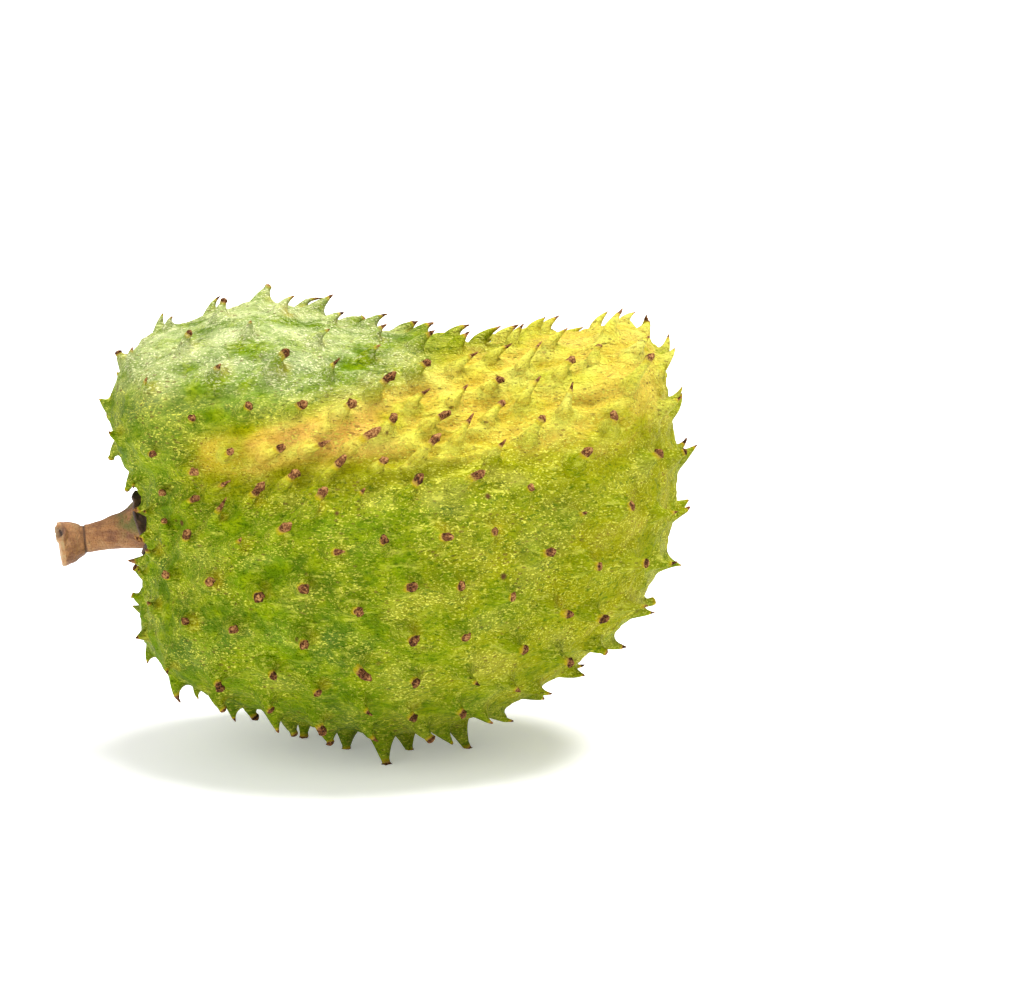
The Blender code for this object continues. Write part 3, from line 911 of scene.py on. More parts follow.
    def points(self, number: int, share: np.ndarray, turn: np.ndarray, radius: np.ndarray) -> np.ndarray:
        """Places on one spine, from the heart.

        Args:
            number: Which spine.
            share: Shares of its height.
            turn: Turns round its middle line, from the side that it hooks to.
            radius: Distances from its middle line.

        Returns:
            One place for each, with the three shapes broadcast together.
        """
        share, turn, radius = np.broadcast_arrays(share, turn, radius)
        hooked, sideways, outward = self.hooked[number], self.sideways[number], self.outward[number]
        late = np.clip(share - self.rules.bend_from, 0, 1)
        bend = self.lean[number] * share**2 + self.curl[number] * late**2
        slope = 2 * self.lean[number] * share + 2 * self.curl[number] * late
        aside = self.sway[number] * share**2
        middle = self.feet[number] + self.height[number] * (
            share[..., None] * outward + bend[..., None] * hooked + aside[..., None] * sideways
        )
        tilt = np.arctan(slope)[..., None]
        forward = np.cos(tilt) * hooked - np.sin(tilt) * outward
        keel = self.between(self.rules.keel, number)
        reach = (radius * (1 + keel * np.clip(-np.cos(turn), 0, 1) * (1 - share)))[..., None]
        return middle + reach * (np.cos(turn)[..., None] * forward + np.sin(turn)[..., None] * sideways)


@dataclass
class Relief:
    """Low relief of the skin: pads under the spines, ridges that lead up to them, folds and lumps."""

    flesh: Flesh
    spines: Spines
    crown: Place = (0.0880, 0.004, 0.0500)  # where the fruit's long folds run to
    pad_height: float = 0.0009
    pad_radius: float = 0.0062
    pad_reach: float = 0.022  # pads and ridges end well within this distance of the foot
    ridge_height: float = 0.0007
    ridge_height_crowded: float = 0.0044
    ridge_length: float = 0.0110
    ridge_width: float = 0.0027
    fold_height: float = 0.0019
    fold_width: float = 0.0062
    fold_length: float = 0.030
    fold_least: float = 0.45  # how much of their height the folds keep away from the valley
    lump_height: float = 0.0010
    pimple_height: float = 0.00080
    sunk: float = 0.0010  # evens out what the pads and ridges add

    def spine_relief(self, places: np.ndarray) -> np.ndarray:
        """Height of the pads under the spines and of the ridges that lead up to them.

        Args:
            places: Places on the plain skin, from the heart.

        Returns:
            One height for each.
        """
        pads = np.zeros(len(places))
        ridges = np.zeros(len(places))
        spines = self.spines
        for number, foot in enumerate(spines.feet):
            offset = places - foot
            far = np.linalg.norm(offset, axis=1)
            near = np.flatnonzero(far < self.pad_reach)
            offset = offset[near]
            along, across = offset @ spines.hooked[number], offset @ spines.sideways[number]
            size, crowded = spines.size[number], spines.ridged[number]
            pads[near] += self.pad_height * size * np.exp(-((far[near] / (self.pad_radius * size)) ** 2))
            length = self.ridge_length * (1 + 0.4 * crowded)
            behind = np.clip(1 + along / length, 0, 1) ** 1.25
            ahead = np.exp(-((np.clip(along, 0, 1) / 0.0035) ** 2))
            side = np.exp(-((across / (self.ridge_width * (1.7 - 0.7 * behind))) ** 2))
            height = size * (self.ridge_height + (self.ridge_height_crowded - self.ridge_height) * crowded)
            ridges[near] = np.maximum(ridges[near], height * behind * ahead * side)
        return pads + ridges

    def height_at(self, places: np.ndarray) -> np.ndarray:
        """Height of all the relief at places on the skin.

        Args:
            places: Places on the plain skin, from the heart.

        Returns:
            One height for each, along the skin's normal.
        """
        axis = unit(np.array(self.crown) - STALK_SEAT)
        along = (places @ axis)[:, None] * axis
        stretched = places + along * (self.fold_width / self.fold_length - 1)
        folds = 1 - 2 * np.abs(noise_at(stretched, 3 * (self.fold_width,), 3.7))
        share = self.fold_least + (1 - self.fold_least) * np.sqrt(self.flesh.crowding(places))
        lumps = noise_at(places, 3 * (0.019,), 11.3) + 0.5 * noise_at(places, 3 * (0.009,), 5.1)
        pimples = noise_at(places, 3 * (0.0036,), 7.9)
        return (
            self.spine_relief(places)
            + self.fold_height * share * folds
            + self.lump_height * lumps
            + self.pimple_height * pimples
            - self.sunk
        )


# ------------------------------------------------------------------------------------------------ the fruit


@dataclass
class Patch:
    """The corners of the skin under one spine."""

    spine: int
    ring: list[int]  # the outermost ring, in order round the foot
    inner: list[int]  # the corners inside it
    turns: np.ndarray = field(default_factory=lambda: np.zeros(0))


@dataclass
class SkinNet:
    """A fine mesh of the plain skin, as places from the heart."""

    places: np.ndarray
    faces: np.ndarray
    edges: np.ndarray
    links: list[list[int]]

    def settle(self, weights: np.ndarray, rounds: int, held: np.ndarray | None = None) -> None:
        """Moves each corner between its neighbours, again and again.

        Args:
            weights: How strongly each corner draws its neighbours.
            rounds: How many times.
            held: Corners that stay where they are.
        """
        sides = (self.edges.T, self.edges.T[::-1])
        total = sum(np.bincount(one, weights[other], len(self.places)) for one, other in sides)
        for _ in range(rounds):
            moved = np.empty_like(self.places)
            for axis in range(3):
                pull = weights * self.places[:, axis]
                drawn = sum(np.bincount(one, pull[other], len(total)) for one, other in sides)
                moved[:, axis] = drawn / total
            self.places = moved if held is None else np.where(held[:, None], self.places, moved)


@dataclass(frozen=True)
class Zones:
    """Where the skin changes colour, as ranges of places from the heart and of shares."""

    ripe_start: Span = (-0.0560, 0.0310)  # X and Z of the ends of the ripest band
    ripe_end: Span = (0.0730, 0.0580)
    ripe_widths: Span = (0.0100, 0.0190)
    ripe_above: Span = (0.45, 1.35)  # widths of the band over which it fades, above and below it
    ripe_below: Span = (0.20, 2.10)
    ripe_fading: Span = (0.60, 0.90)  # share of the way along the band
    riper: Span = (-0.035, 0.080)  # X over which the whole fruit gets riper
    front: Span = (-0.030, 0.020)  # -Y
    upper_z: Span = (0.036, 0.070)  # the golden upper side towards the apex
    upper_x: Span = (0.005, 0.040)
    upper_end_x: Span = (0.065, 0.095)
    blush_width: Span = (0.15, 1.15)
    blush_start: Span = (0.00, 0.12)
    blush_end: Span = (0.30, 0.52)
    bloom_x: Span = (0.060, 0.095)  # towards the stalk
    bloom_z: Span = (0.012, 0.035)  # above and below it
    lobe_z: Span = (0.040, 0.074)  # the upper lobe by the stalk, where a painted sheen makes the skin pale
    lobe_x: Span = (-0.020, 0.020)
    milky_below: float = 0.024  # how far the milky strip's middle is below the band
    milky_width: float = 0.014
    milky_start_x: Span = (-0.020, 0.030)
    milky_end_x: Span = (0.035, 0.070)
    patches: Span = (0.1, 0.5)
    # painted light: the skin gets paler towards the top
    painted_top_light_z: Span = (0.020, 0.068)
    flecked_x: Span = (0.0, 0.04)
    # painted shade: the skin gets darker towards the bottom
    painted_shade_z: Span = (0.010, 0.072)
    halo: float = 0.0062  # reach of the flecks and of the stain round a spine's foot
    stain: float = 0.0042
    stain_aside: float = 0.0018


@dataclass
class Fruit:
    """The whole soursop without its stalk, as one closed skin."""

    flesh: Flesh
    spines: Spines
    relief: Relief
    finish: SkinFinish
    divisions: int = 7
    levels: tuple[float, ...] = (0.07, 0.15, 0.25, 0.36, 0.48, 0.60, 0.71, 0.82, 0.92, 0.985)
    end_level: float = 1.02
    end_shares: Span = (0.86, 0.45)  # how wide the last two rings are
    crown_level: float = 1.035  # where the end closes
    settling: int = 240
    patch_settling: int = 40
    zones: Zones = Zones()

    def even_skin(self) -> SkinNet:
        """Makes the plain skin, a little finer where the spines are crowded.

        Returns:
            Its net of corners.
        """
        mesh = bmesh.new()
        bmesh.ops.create_icosphere(mesh, subdivisions=self.divisions, radius=1)
        mesh.verts.index_update()
        start = np.array([vert.co for vert in mesh.verts])
        net = SkinNet(
            places=self.flesh.skin_at(unit(start * self.flesh.evenness)),
            faces=np.array([[vert.index for vert in face.verts] for face in mesh.faces]),
            edges=np.array([[vert.index for vert in edge.verts] for edge in mesh.edges]),
            links=[[edge.other_vert(vert).index for edge in vert.link_edges] for vert in mesh.verts],
        )
        mesh.free()
        for _ in range(4):
            net.settle(1 + 3.0 * self.flesh.crowding(net.places), self.settling // 4)
            net.places = self.flesh.skin_at(unit(net.places))
        return net

    def choose_patches(self, net: SkinNet) -> list[Patch]:
        """Finds the corners under each spine, lowest spines first, and leaves out those without room.

        Args:
            net: The plain skin.

        Returns:
            One patch for each spine that has room.
        """
        taken: set[int] = set()
        patches = []
        directions = unit(net.places)
        for number in np.argsort(self.spines.feet[:, 2]):
            middle = int(np.argmax(directions @ unit(self.spines.feet[number])))
            edge = np.linalg.norm(net.places[net.links[middle]] - net.places[middle], axis=1).mean()
            inner, front = [middle], [middle]
            for step in range(int(np.clip(round(self.spines.foot_radius[number] / edge), 2, 3))):
                inner += front if step else []
                around = [other for corner in front for other in net.links[corner]]
                front = list(dict.fromkeys(other for other in around if other not in inner))
            if taken & {*inner, *front}:
                continue
            taken |= {*inner, *front}
            ring = [front[0]]
            while len(ring) < len(front):
                ring += [other for other in net.links[ring[-1]] if other in front and other not in ring][:1]
            patches.append(Patch(int(number), ring, inner))
        return patches

    def round_foot(self, net: SkinNet, patch: Patch) -> None:
        """Puts a spine's ring of corners evenly round its foot, and keeps the turn of each of them.

        Args:
            net: The plain skin.
            patch: The corners under the spine.
        """
        spines, number = self.spines, patch.spine
        for _ in range(2):
            offsets = net.places[patch.ring] - spines.feet[number]
            turns = np.arctan2(offsets @ spines.sideways[number], offsets @ spines.hooked[number])
            if np.sin(np.diff(turns, append=turns[0])).sum() > 0:
                break
            patch.ring.reverse()
        even = 2 * math.pi * np.arange(len(turns)) / len(turns)
        patch.turns = even + np.angle(np.exp(1j * (turns - even)).sum())
        net.places[patch.ring] = spines.points(number, np.zeros(1), patch.turns, spines.foot_radius[number])
        net.places[patch.inner] = spines.feet[number]

    def raised(self, patch: Patch, rim: np.ndarray) -> np.ndarray:
        """Draws one patch of skin out into a spine.

        Args:
            patch: The corners under the spine.
            rim: Places of the ring of corners that it stands on, with their relief.

        Returns:
            Rings of corners up the spine, the last of them inside the blunt end.
        """
        spines, number = self.spines, patch.spine
        shares = np.array((*self.levels, self.end_level))[:, None]
        radii = spines.radius(number, np.minimum(shares, 1))
        radii[-2:] *= np.array(self.end_shares)[:, None]
        rows = spines.points(number, shares, patch.turns[None], radii)
        start = spines.points(number, np.zeros(1), patch.turns, spines.foot_radius[number])
        rows = rows + (1 - np.minimum(shares, 1))[..., None] * (rim - start)
        dry = smooth_step(shares, spines.brown_from[number] - 0.15, spines.brown_from[number] + 0.1)
        wrinkle = noise_at(rows.reshape(-1, 3), (0.0010, 0.0010, 0.0012), 1.3).reshape(rows.shape[:2])
        middle = rows.mean(axis=1, keepdims=True)
        return middle + (rows - middle) * (1 + 0.65 * dry * wrinkle)[..., None]

    def build(self) -> bpy.types.Object:
        """Makes the fruit and dresses it.

        Returns:
            The finished piece, which stands for the solid fruit.
        """
        net = self.even_skin()
        patches = self.choose_patches(net)
        held = np.zeros(len(net.places), bool)
        for patch in patches:
            self.round_foot(net, patch)
            held[patch.ring + patch.inner] = True
        net.settle(np.ones(len(held)), self.patch_settling, held)
        plain = self.flesh.skin_at(unit(net.places))
        normals = self.flesh.normals_at(plain)
        relief = self.relief.height_at(plain)
        skin = plain + normals * relief[:, None]

        inner = np.zeros(len(skin), bool)
        inner[[corner for patch in patches for corner in patch.inner]] = True
        faces = [tuple(face) for face in net.faces[~inner[net.faces].any(axis=1)].tolist()]
        blocks = [skin]
        tips = [np.zeros(len(skin))]
        painted_cap_highlights = [np.zeros(len(skin))]
        rises = [smooth_step(relief, 0.0002, 0.0026)]
        owners = [np.full(len(skin), -1)]
        count = len(skin)
        for patch in patches:
            rows = self.raised(patch, skin[patch.ring])
            crown = self.spines.points(patch.spine, np.full(1, self.crown_level), np.zeros(1), 0.0)
            below = patch.ring
            for _ in rows:
                above = list(range(count, count + len(below)))
                sides = zip(below, below[1:] + below[:1], above, above[1:] + above[:1])
                faces += [(one, two, four, three) for one, two, three, four in sides]
                below = above
                count += len(above)
            faces += [(one, two, count) for one, two in zip(below, below[1:] + below[:1])]
            count += 1
            blocks += [rows.reshape(-1, 3), crown]
            shares = np.append(np.repeat((*self.levels, self.end_level), len(patch.ring)), 1.03)
            tips.append(np.clip(0.5 + (shares - self.spines.brown_from[patch.spine]) / 0.30, 0, 1))
            # painted highlight: the end of each dried tip is made lighter
            painted_cap_highlights.append(smooth_step(shares, 0.93, 1.02))
            rises.append(0.35 + 0.65 * smooth_step(shares, 0.0, 0.7))
            owners.append(np.full(len(shares), patch.spine))

        places = np.concatenate(blocks)
        values = self.colour_values(places, np.concatenate(owners))
        values["tone"] += 0.4 * np.concatenate(painted_cap_highlights)
        values |= {"tip": np.concatenate(tips), "rise": np.concatenate(rises)}
        piece = self.closed(places, faces, values)
        return finish_piece(piece, self.finish.build(), "fruit")

    def closed(
        self, places: np.ndarray, faces: list[tuple[int, ...]], values: dict[str, np.ndarray]
    ) -> bpy.types.Object:
        """Joins the corners into the fruit's closed skin, with no corner under the floor.

        Args:
            places: The corners, from the heart.
            faces: The corners of each face.
            values: The numbers that the finish reads, by name, with one for each corner.

        Returns:
            The bare piece.
        """
        whole = HEART + places
        whole[:, 2] = np.maximum(whole[:, 2], 0.0)
        data = bpy.data.meshes.new("soursop_fruit")
        data.from_pydata(whole.tolist(), [], faces)
        mesh = bmesh.new()
        mesh.from_mesh(data)
        bpy.data.meshes.remove(data)
        for name, numbers in values.items():
            layer = mesh.verts.layers.float.new(name)
            for vert, number in zip(mesh.verts, numbers.tolist()):
                vert[layer] = number
        loose = [vert for vert in mesh.verts if not vert.link_faces]
        bmesh.ops.delete(mesh, geom=loose, context="VERTS")
        return mesh_object("soursop_fruit", mesh)

    def round_spines(self, places: np.ndarray) -> tuple[np.ndarray, np.ndarray]:
        """Looks at what lies round the spines' feet.

        Args:
            places: The corners, from the heart.

        Returns:
            How near each corner is to a foot, and how much of a yellow stain it has.
        """
        halo, glow = np.zeros(len(places)), np.zeros(len(places))
        spines, zones = self.spines, self.zones
        for foot, hooked, size, stain in zip(spines.feet, spines.hooked, spines.size, spines.stain):
            offset = places - foot
            away = np.linalg.norm(offset, axis=1) / (zones.halo * size)
            halo = np.maximum(halo, np.exp(-(away**2)))
            away = np.linalg.norm(offset - zones.stain_aside * hooked, axis=1) / (zones.stain * size)
            glow = np.maximum(glow, stain * np.exp(-(away**2)))
        return halo, glow

    def colour_values(self, places: np.ndarray, owners: np.ndarray) -> dict[str, np.ndarray]:
        """The numbers that the skin's finish reads at each corner.

        Args:
            places: The corners, from the heart.
            owners: The spine that each corner is on, or -1.

        Returns:
            One row of numbers by name.
        """
        x, y, z = places.T
        zones = self.zones
        front = smooth_step(-y, *zones.front)
        cloud = noise_at(places, (0.026, 0.020, 0.016), 2.2)
        patchy = smooth_step(np.abs(cloud), *zones.patches)
        share, distance, above = beside_line(places, zones.ripe_start, zones.ripe_end)
        width = zones.ripe_widths[0] + (zones.ripe_widths[1] - zones.ripe_widths[0]) * share
        reach = distance * (1 + 0.30 * cloud) / width
        over, under = smooth_step(reach, *zones.ripe_above), smooth_step(reach, *zones.ripe_below)
        band = (1 - np.where(above, over, under)) * (0.30 + 0.70 * front)
        band *= 1 - 0.45 * smooth_step(share, *zones.ripe_fading)
        upper = smooth_step(z, *zones.upper_z) * smooth_step(x, *zones.upper_x)
        upper *= 1 - 0.35 * smooth_step(x, *zones.upper_end_x)
        ripe = 0.08 + 0.36 * smooth_step(x, *zones.riper) + 0.62 * np.maximum(band, 0.62 * upper)
        blush = (1 - smooth_step(reach, *zones.blush_width)) * smooth_step(share, *zones.blush_start)
        blush *= front * (1 - 0.80 * smooth_step(share, *zones.blush_end))
        bloom = 0.6 * smooth_step(-x, *zones.bloom_x) * smooth_step(np.abs(z), *zones.bloom_z)
        painted_sheen_lobe = smooth_step(z, *zones.lobe_z) * smooth_step(-x, *zones.lobe_x) * (0.45 + 0.55 * front)
        milky = ~above * np.exp(-(((distance - zones.milky_below) / zones.milky_width) ** 2)) * front
        milky *= smooth_step(x, *zones.milky_start_x) * (1 - smooth_step(x, *zones.milky_end_x))
        # pale: a painted sheen, lighter towards the top and strongest on the upper lobe, with real milky
        # patches
        pale = 0.02 + 0.14 * smooth_step(z, *zones.painted_top_light_z) + 0.85 * painted_sheen_lobe + 0.06 * milky + 0.08 * patchy
        halo, glow = self.round_spines(places)
        flecked = 0.30 + 0.20 * painted_sheen_lobe + 0.14 * patchy + 0.35 * halo + 0.50 * milky
        # painted shade on the bodies of the spines off the ridges, as on their shaded undersides
        shaded = np.where(owners < 0, 0, 1 - self.spines.ridged[owners]) * (1 - painted_sheen_lobe)
        return {
            "ripe": ripe + 0.18 * cloud,
            "blush": blush + 0.12 * cloud,
            "bloom": bloom,
            "pale": pale,
            "flecked": flecked + 0.12 * smooth_step(x, *zones.flecked_x),
            "halo": np.maximum(halo, 0.8 * milky),
            "glow": glow,
            # painted shade: darker towards the bottom and on the spines' bodies
            "low": smooth_step(-z, *zones.painted_shade_z) + 2.5 * shaded,
            "tone": np.where(owners < 0, 0.5, self.spines.tone[owners]),
        }


# ------------------------------------------------------------------------------- the stalk and its sepals


def open_rims(mesh: bmesh.types.BMesh) -> list[list[bmesh.types.BMEdge]]:
    """Finds the rims where a mesh is open.

    Args:
        mesh: The mesh.

    Returns:
        The edges of each rim.
    """
    left = [edge for edge in mesh.edges if edge.is_boundary]
    rims = []
    while left:
        rim = [left.pop()]
        for edge in rim:
            for other in (other for vert in edge.verts for other in vert.link_edges):
                if other in left:
                    left.remove(other)
                    rim.append(other)
        rims.append(rim)
    return rims


@dataclass
class Stalk:
    """The woody stalk: a curved rod that flares at both ends, cut nearly square, with an old bud scar."""

    finish: BarkFinish
    line: tuple[tuple[Place, float], ...] = (  # places from the heart, and radii
        ((-0.0790, -0.0040, 0.0015), 0.0112),
        ((-0.0850, -0.0040, 0.0000), 0.0096),
        ((-0.0904, -0.0043, -0.0018), 0.0073),
        ((-0.0980, -0.0049, -0.0037), 0.0057),
        ((-0.1042, -0.0056, -0.0049), 0.0049),
        ((-0.1062, -0.0059, -0.0053), 0.0049),
        ((-0.1069, -0.0060, -0.0054), 0.0046),
        ((-0.1076, -0.0061, -0.0056), 0.0052),
        ((-0.1106, -0.0066, -0.0061), 0.0067),
        ((-0.1139, -0.0072, -0.0068), 0.0076),
        ((-0.1160, -0.0075, -0.0070), 0.0077),
    )
    groove: Place = (-0.1069, -0.0060, -0.0054)
    groove_depth: float = 0.00025
    cut: Place = (-0.1160, -0.0075, -0.0070)
    cut_slope: float = 0.09  # how far the cut turns towards -Y
    cut_hinge: float = 0.0078  # how far towards +Y from its middle it turns about
    scar: Place = (-0.1157, -0.0127, -0.0020)
    scar_radius: float = 0.0025
    scar_height: float = 0.0020
    end_rings: tuple[float, ...] = (0.97, 0.92, 0.86, 0.80, 0.73, 0.65, 0.55, 0.42, 0.26)
    end_bulge: float = 0.00025
    grain_height: float = 0.00022
    lump_height: float = 0.00040
    fine_height: float = 0.00007
    moss_from: Span = (-0.0060, 0.0010)  # Z

    def rod(self) -> bmesh.types.BMesh:
        """Sweeps a fine round section along the stalk's line.

        Returns:
            A tube that is open at both ends.
        """
        curve = bpy.data.curves.new("stalk_line", "CURVE")
        curve.dimensions = "3D"
        curve.bevel_depth = 1.0
        curve.bevel_resolution = 22
        curve.resolution_u = 13
        line = curve.splines.new("BEZIER")
        line.radius_interpolation = "CARDINAL"
        line.bezier_points.add(len(self.line) - 1)
        for knot, (place, radius) in zip(line.bezier_points, self.line):
            knot.co = Vector(HEART + np.array(place))
            knot.radius = radius
            knot.handle_left_type = "AUTO"
            knot.handle_right_type = "AUTO"
        rod = bpy.data.objects.new("stalk_line", curve)
        bpy.context.scene.collection.objects.link(rod)
        bpy.context.view_layer.update()
        data = bpy.data.meshes.new_from_object(rod.evaluated_get(bpy.context.evaluated_depsgraph_get()))
        bpy.data.objects.remove(rod)
        bpy.data.curves.remove(curve)
        mesh = bmesh.new()
        mesh.from_mesh(data)
        bpy.data.meshes.remove(data)
        return mesh

    def close_ends(self, mesh: bmesh.types.BMesh) -> None:
        """Closes both ends with rings that step in and bulge a little.

        Args:
            mesh: The open tube.
        """
        for loop in open_rims(mesh):
            middle = sum((vert.co for edge in loop for vert in edge.verts), Vector()) / (2 * len(loop))
            at_cut = middle.x < HEART[0] + STALK_SEAT[0] - 0.01
            outward = Vector(self.outward() * (1 if at_cut else -1))
            radius = self.line[-1 if at_cut else 0][1]
            for shrink in self.end_rings:
                made = bmesh.ops.extrude_edge_only(mesh, edges=loop)["geom"]
                base = middle + outward * self.end_bulge * (1 - 2 * (0.9 - shrink) ** 2)
                for vert in (item for item in made if isinstance(item, bmesh.types.BMVert)):
                    across = vert.co - middle
                    across -= across.dot(outward) * outward
                    vert.co = base + across.normalized() * radius * shrink
                loop = [item for item in made if isinstance(item, bmesh.types.BMEdge)]
            bmesh.ops.contextual_create(mesh, geom=loop)

    def outward(self) -> np.ndarray:
        """The way that the stalk runs at its cut end."""
        return unit(np.array(self.line[-1][0]) - np.array(self.line[-2][0]))

    def build(self) -> bpy.types.Object:
        """Makes the stalk and dresses it.

        Returns:
            The finished piece, which stands for the solid stalk.
        """
        mesh = self.rod()
        self.close_ends(mesh)
        bmesh.ops.recalc_face_normals(mesh, faces=mesh.faces)
        mesh.normal_update()
        places = np.array([vert.co for vert in mesh.verts]) - HEART
        normals = np.array([vert.normal for vert in mesh.verts])
        outward = self.outward()
        from_cut = (places - np.array(self.cut)) @ outward
        from_groove = (places - np.array(self.groove)) @ outward
        grain = noise_at(places, (0.0060, 0.0022, 0.0022), 4.4)
        lumps = noise_at(places, (0.0075, 0.0060, 0.0060), 9.2)
        fine = noise_at(places, (0.0016, 0.0009, 0.0009), 6.1)
        from_scar = np.linalg.norm(places - np.array(self.scar), axis=1) / self.scar_radius
        rim = np.exp(-(((from_scar - 0.95) / 0.42) ** 2))
        pit = np.exp(-((from_scar / 0.60) ** 2))
        bark = smooth_step(-from_cut, 0.0004, 0.0030)
        height = bark * (self.grain_height * grain + self.lump_height * lumps) + self.fine_height * fine
        height += self.scar_height * (0.7 * rim - 1.2 * pit)
        height -= self.groove_depth * np.exp(-((from_groove / 0.0005) ** 2))
        places = places + normals * height[:, None]
        shortened = self.cut_slope * np.clip(self.cut_hinge - (places[:, 1] - self.cut[1]), 0, None)
        places -= (shortened * smooth_step(from_cut, -0.0050, 0.0))[:, None] * outward
        for vert, place in zip(mesh.verts, places):
            vert.co = HEART + place
        piece = mesh_object("soursop_stalk", mesh)
        give_values(piece, "cut", smooth_step(from_cut, -0.0016, -0.0009))
        give_values(piece, "groove", np.exp(-((from_groove / 0.0004) ** 2)) * 0.8 + 1.8 * pit)
        near_skin = smooth_step(-np.linalg.norm(places - STALK_SEAT, axis=1), -0.0135, -0.0095)
        give_values(piece, "moss", near_skin * smooth_step(places[:, 2], *self.moss_from))
        return finish_piece(piece, self.finish.build(), "stalk")


@dataclass
class Sepals:
    """Three dried, leathery flaps round the stalk, each a crescent with its root sunk in the skin."""

    flesh: Flesh
    finish: DriedFinish
    count: int = 3
    first_turn: float = 53.0  # degrees from upwards, towards -Y
    spread: float = 106.0  # degrees that one goes round the stalk
    radii: tuple[float, ...] = (0.0108, 0.0100, 0.0108)
    flare: float = 0.30
    root_depth: float = 0.0020
    heights: tuple[float, ...] = (0.0046, 0.0014, 0.0032)
    thickness: float = 0.0013
    cells: tuple[int, int] = (56, 22)
    raggedness: float = 0.16  # share of the height
    wave: float = 0.0005
    curl: float = 0.0007
    crumples: Span = (0.00022, 0.0003)  # fine and coarse
    crumple_cells: Span = (0.0011, 0.0032)

    def skin_beside_stalk(self, around: np.ndarray, radius: float) -> float:
        """Finds the skin beside the stalk.

        Args:
            around: Direction from the stalk's middle line, square to it.
            radius: Distance from the middle line.

        Returns:
            How far out along the stalk the skin lies there.
        """
        along = np.linspace(-0.012, 0.012, 481)
        places = STALK_SEAT + along[:, None] * STALK_OUTWARD + radius * around
        return float(along[self.flesh.fullness(places) > 1].max())

    def sheet(self, number: int) -> bmesh.types.BMesh:
        """Makes the middle surface of one sepal, wavy and curled at its edge.

        Args:
            number: Which of them, from 0.

        Returns:
            The sheet.
        """
        up = unit(np.array((0.0, 0.0, 1.0)) - STALK_OUTWARD[2] * STALK_OUTWARD)
        side = np.cross(STALK_OUTWARD, up)
        middle_turn = math.radians(self.first_turn + number * 360 / self.count)
        mesh = bmesh.new()
        bmesh.ops.create_grid(mesh, x_segments=self.cells[0], y_segments=self.cells[1], size=1)
        found: dict[float, float] = {}
        for vert in mesh.verts:
            across, rise = vert.co.x, (vert.co.y + 1) / 2
            turn = middle_turn - across * math.radians(self.spread) / 2
            around = math.cos(turn) * up - math.sin(turn) * side
            key = round(across, 5)
            if key not in found:
                found[key] = self.skin_beside_stalk(around, self.radii[number])
            ragged = 1 + self.raggedness * noise.noise(Vector((across * 4.1, number * 3.3, 0.7)))
            height = self.heights[number] * ragged * math.sqrt(1.04 - across**2)
            above = rise * (self.root_depth + height) - self.root_depth
            wave = self.wave * rise * noise.noise(Vector((across * 6.0, rise * 3.0, number * 5.1)))
            reach = self.radii[number] + self.flare * above + wave + self.curl * rise**4
            vert.co = Vector(HEART + STALK_SEAT + (found[key] + above) * STALK_OUTWARD + reach * around)
        return mesh

    def build(self, number: int) -> bpy.types.Object:
        """Makes one sepal and dresses it.

        Args:
            number: Which of them, from 0.

        Returns:
            The finished piece, which stands for its solid.
        """
        mesh = self.sheet(number)
        bmesh.ops.recalc_face_normals(mesh, faces=mesh.faces)
        bmesh.ops.solidify(mesh, geom=mesh.faces[:], thickness=self.thickness)
        mesh.normal_update()
        for vert in mesh.verts:
            sizes = zip(self.crumples, self.crumple_cells)
            vert.co += vert.normal * sum(height * noise.noise(vert.co / cell) for height, cell in sizes)
        piece = mesh_object(f"soursop_sepal_{number + 1}", mesh)
        return finish_piece(piece, self.finish.build(), f"sepal_{number + 1}")


# ----------------------------------------------------------------------------------------------- the studio


@dataclass(frozen=True)
class FloorFinish:
    """Matt white studio floor."""

    colour: Colour = (0.92, 0.92, 0.92)
    roughness: float = 0.9
    gloss: float = 0.1
    glow: float = 0.22

    def build(self) -> bpy.types.Material:
        """Makes the material.

        Returns:
            The finished material.
        """
        graph = Graph("studio_floor")
        graph.shader.inputs["Base Color"].default_value = (*self.colour, 1)
        graph.shader.inputs["Roughness"].default_value = self.roughness
        graph.shader.inputs["Specular IOR Level"].default_value = self.gloss
        graph.shader.inputs["Emission Color"].default_value = (1, 1, 1, 1)
        graph.shader.inputs["Emission Strength"].default_value = self.glow
        return graph.material


@dataclass(frozen=True)
class Sun:
    """A soft light that falls evenly on the whole floor."""

    name: str
    towards: Place  # from the fruit
    strength: float  # in watts to the square metre
    softness: float  # degrees of the sky that it spans

    def build(self) -> None:
        """Adds the light."""
        data = bpy.data.lights.new(self.name, "SUN")
        data.energy = self.strength
        data.angle = math.radians(self.softness)
        lamp = bpy.data.objects.new(self.name, data)
        lamp.matrix_world = Vector(self.towards).to_track_quat("Z", "Y").to_matrix().to_4x4()
        bpy.context.scene.collection.objects.link(lamp)


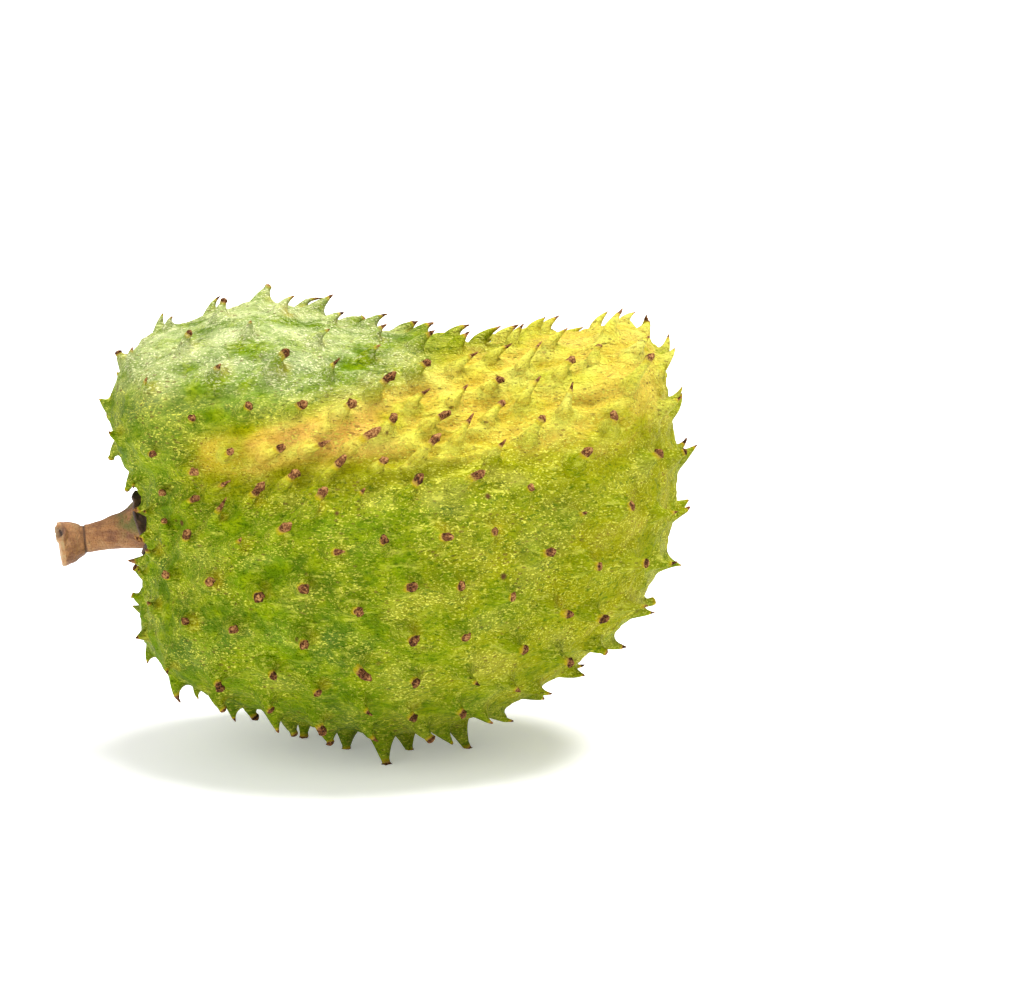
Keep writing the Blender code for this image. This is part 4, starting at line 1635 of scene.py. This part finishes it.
@dataclass
class Studio:
    """Camera, soft lights and a plain pale floor."""

    elevation: float = 12.0  # degrees that the camera looks down
    distance: float = 1.0
    aside: float = 0.0406  # how far the view's middle is from the heart
    above: float = 0.0073
    lens: float = 101.3
    sensor: float = 36.0
    floor_depth: float = 0.0001  # how far the floor lies under the fruit
    sky: float = 0.62
    suns: tuple[Sun, ...] = (
        Sun("top_light", (0.26, 0.10, 1.0), 5.8, 34),
        Sun("front_light", (-0.90, -0.80, 0.45), 1.7, 70),
    )

    def camera(self) -> None:
        """Adds the camera, looking along +Y and a little down."""
        tilt = math.radians(self.elevation)
        back = Vector((0, -math.cos(tilt), math.sin(tilt)))
        right = Vector((1, 0, 0))
        up = right.cross(-back)
        data = bpy.data.cameras.new("studio_camera")
        data.lens = self.lens
        data.sensor_width = self.sensor
        data.sensor_fit = "HORIZONTAL"
        data.clip_start = 0.05
        data.clip_end = 20
        camera = bpy.data.objects.new("studio_camera", data)
        place = Vector(HEART) + right * self.aside + up * self.above + back * self.distance
        camera.matrix_world = Matrix.Translation(place) @ Matrix((right, up, back)).transposed().to_4x4()
        bpy.context.scene.collection.objects.link(camera)
        bpy.context.scene.camera = camera

    def floor(self) -> None:
        """Adds the floor, and a pale world round it."""
        mesh = bmesh.new()
        bmesh.ops.create_grid(mesh, x_segments=8, y_segments=8, size=60)
        floor = mesh_object("studio_floor", mesh)
        floor.location.z = -self.floor_depth
        floor.data.materials.append(FloorFinish().build())
        world = bpy.data.worlds.new("studio_world")
        world.use_nodes = True
        world.node_tree.nodes["Background"].inputs["Color"].default_value = (1, 1, 1, 1)
        world.node_tree.nodes["Background"].inputs["Strength"].default_value = self.sky
        bpy.context.scene.world = world

    def build(self) -> None:
        """Sets up the camera, the floor and the lights."""
        self.camera()
        self.floor()
        for sun in self.suns:
            sun.build()
        view = bpy.context.scene.view_settings
        view.view_transform = "Standard"
        view.look = "None"
        view.exposure = 0.0
        view.gamma = 1.0


def main() -> None:
    """Builds the scene piece by piece."""
    logging.basicConfig(level=logging.INFO, format="%(name)s: %(message)s")
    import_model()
    Studio().build()
    flesh = Flesh()
    spines = Spines(SpineRules(), flesh)
    log.info("%d spines wanted", len(spines.feet))
    Fruit(flesh, spines, Relief(flesh, spines), SkinFinish()).build()
    Stalk(BarkFinish()).build()
    sepals = Sepals(flesh, DriedFinish())
    for number in range(sepals.count):
        sepals.build(number)


if __name__ == "__main__":
    main()
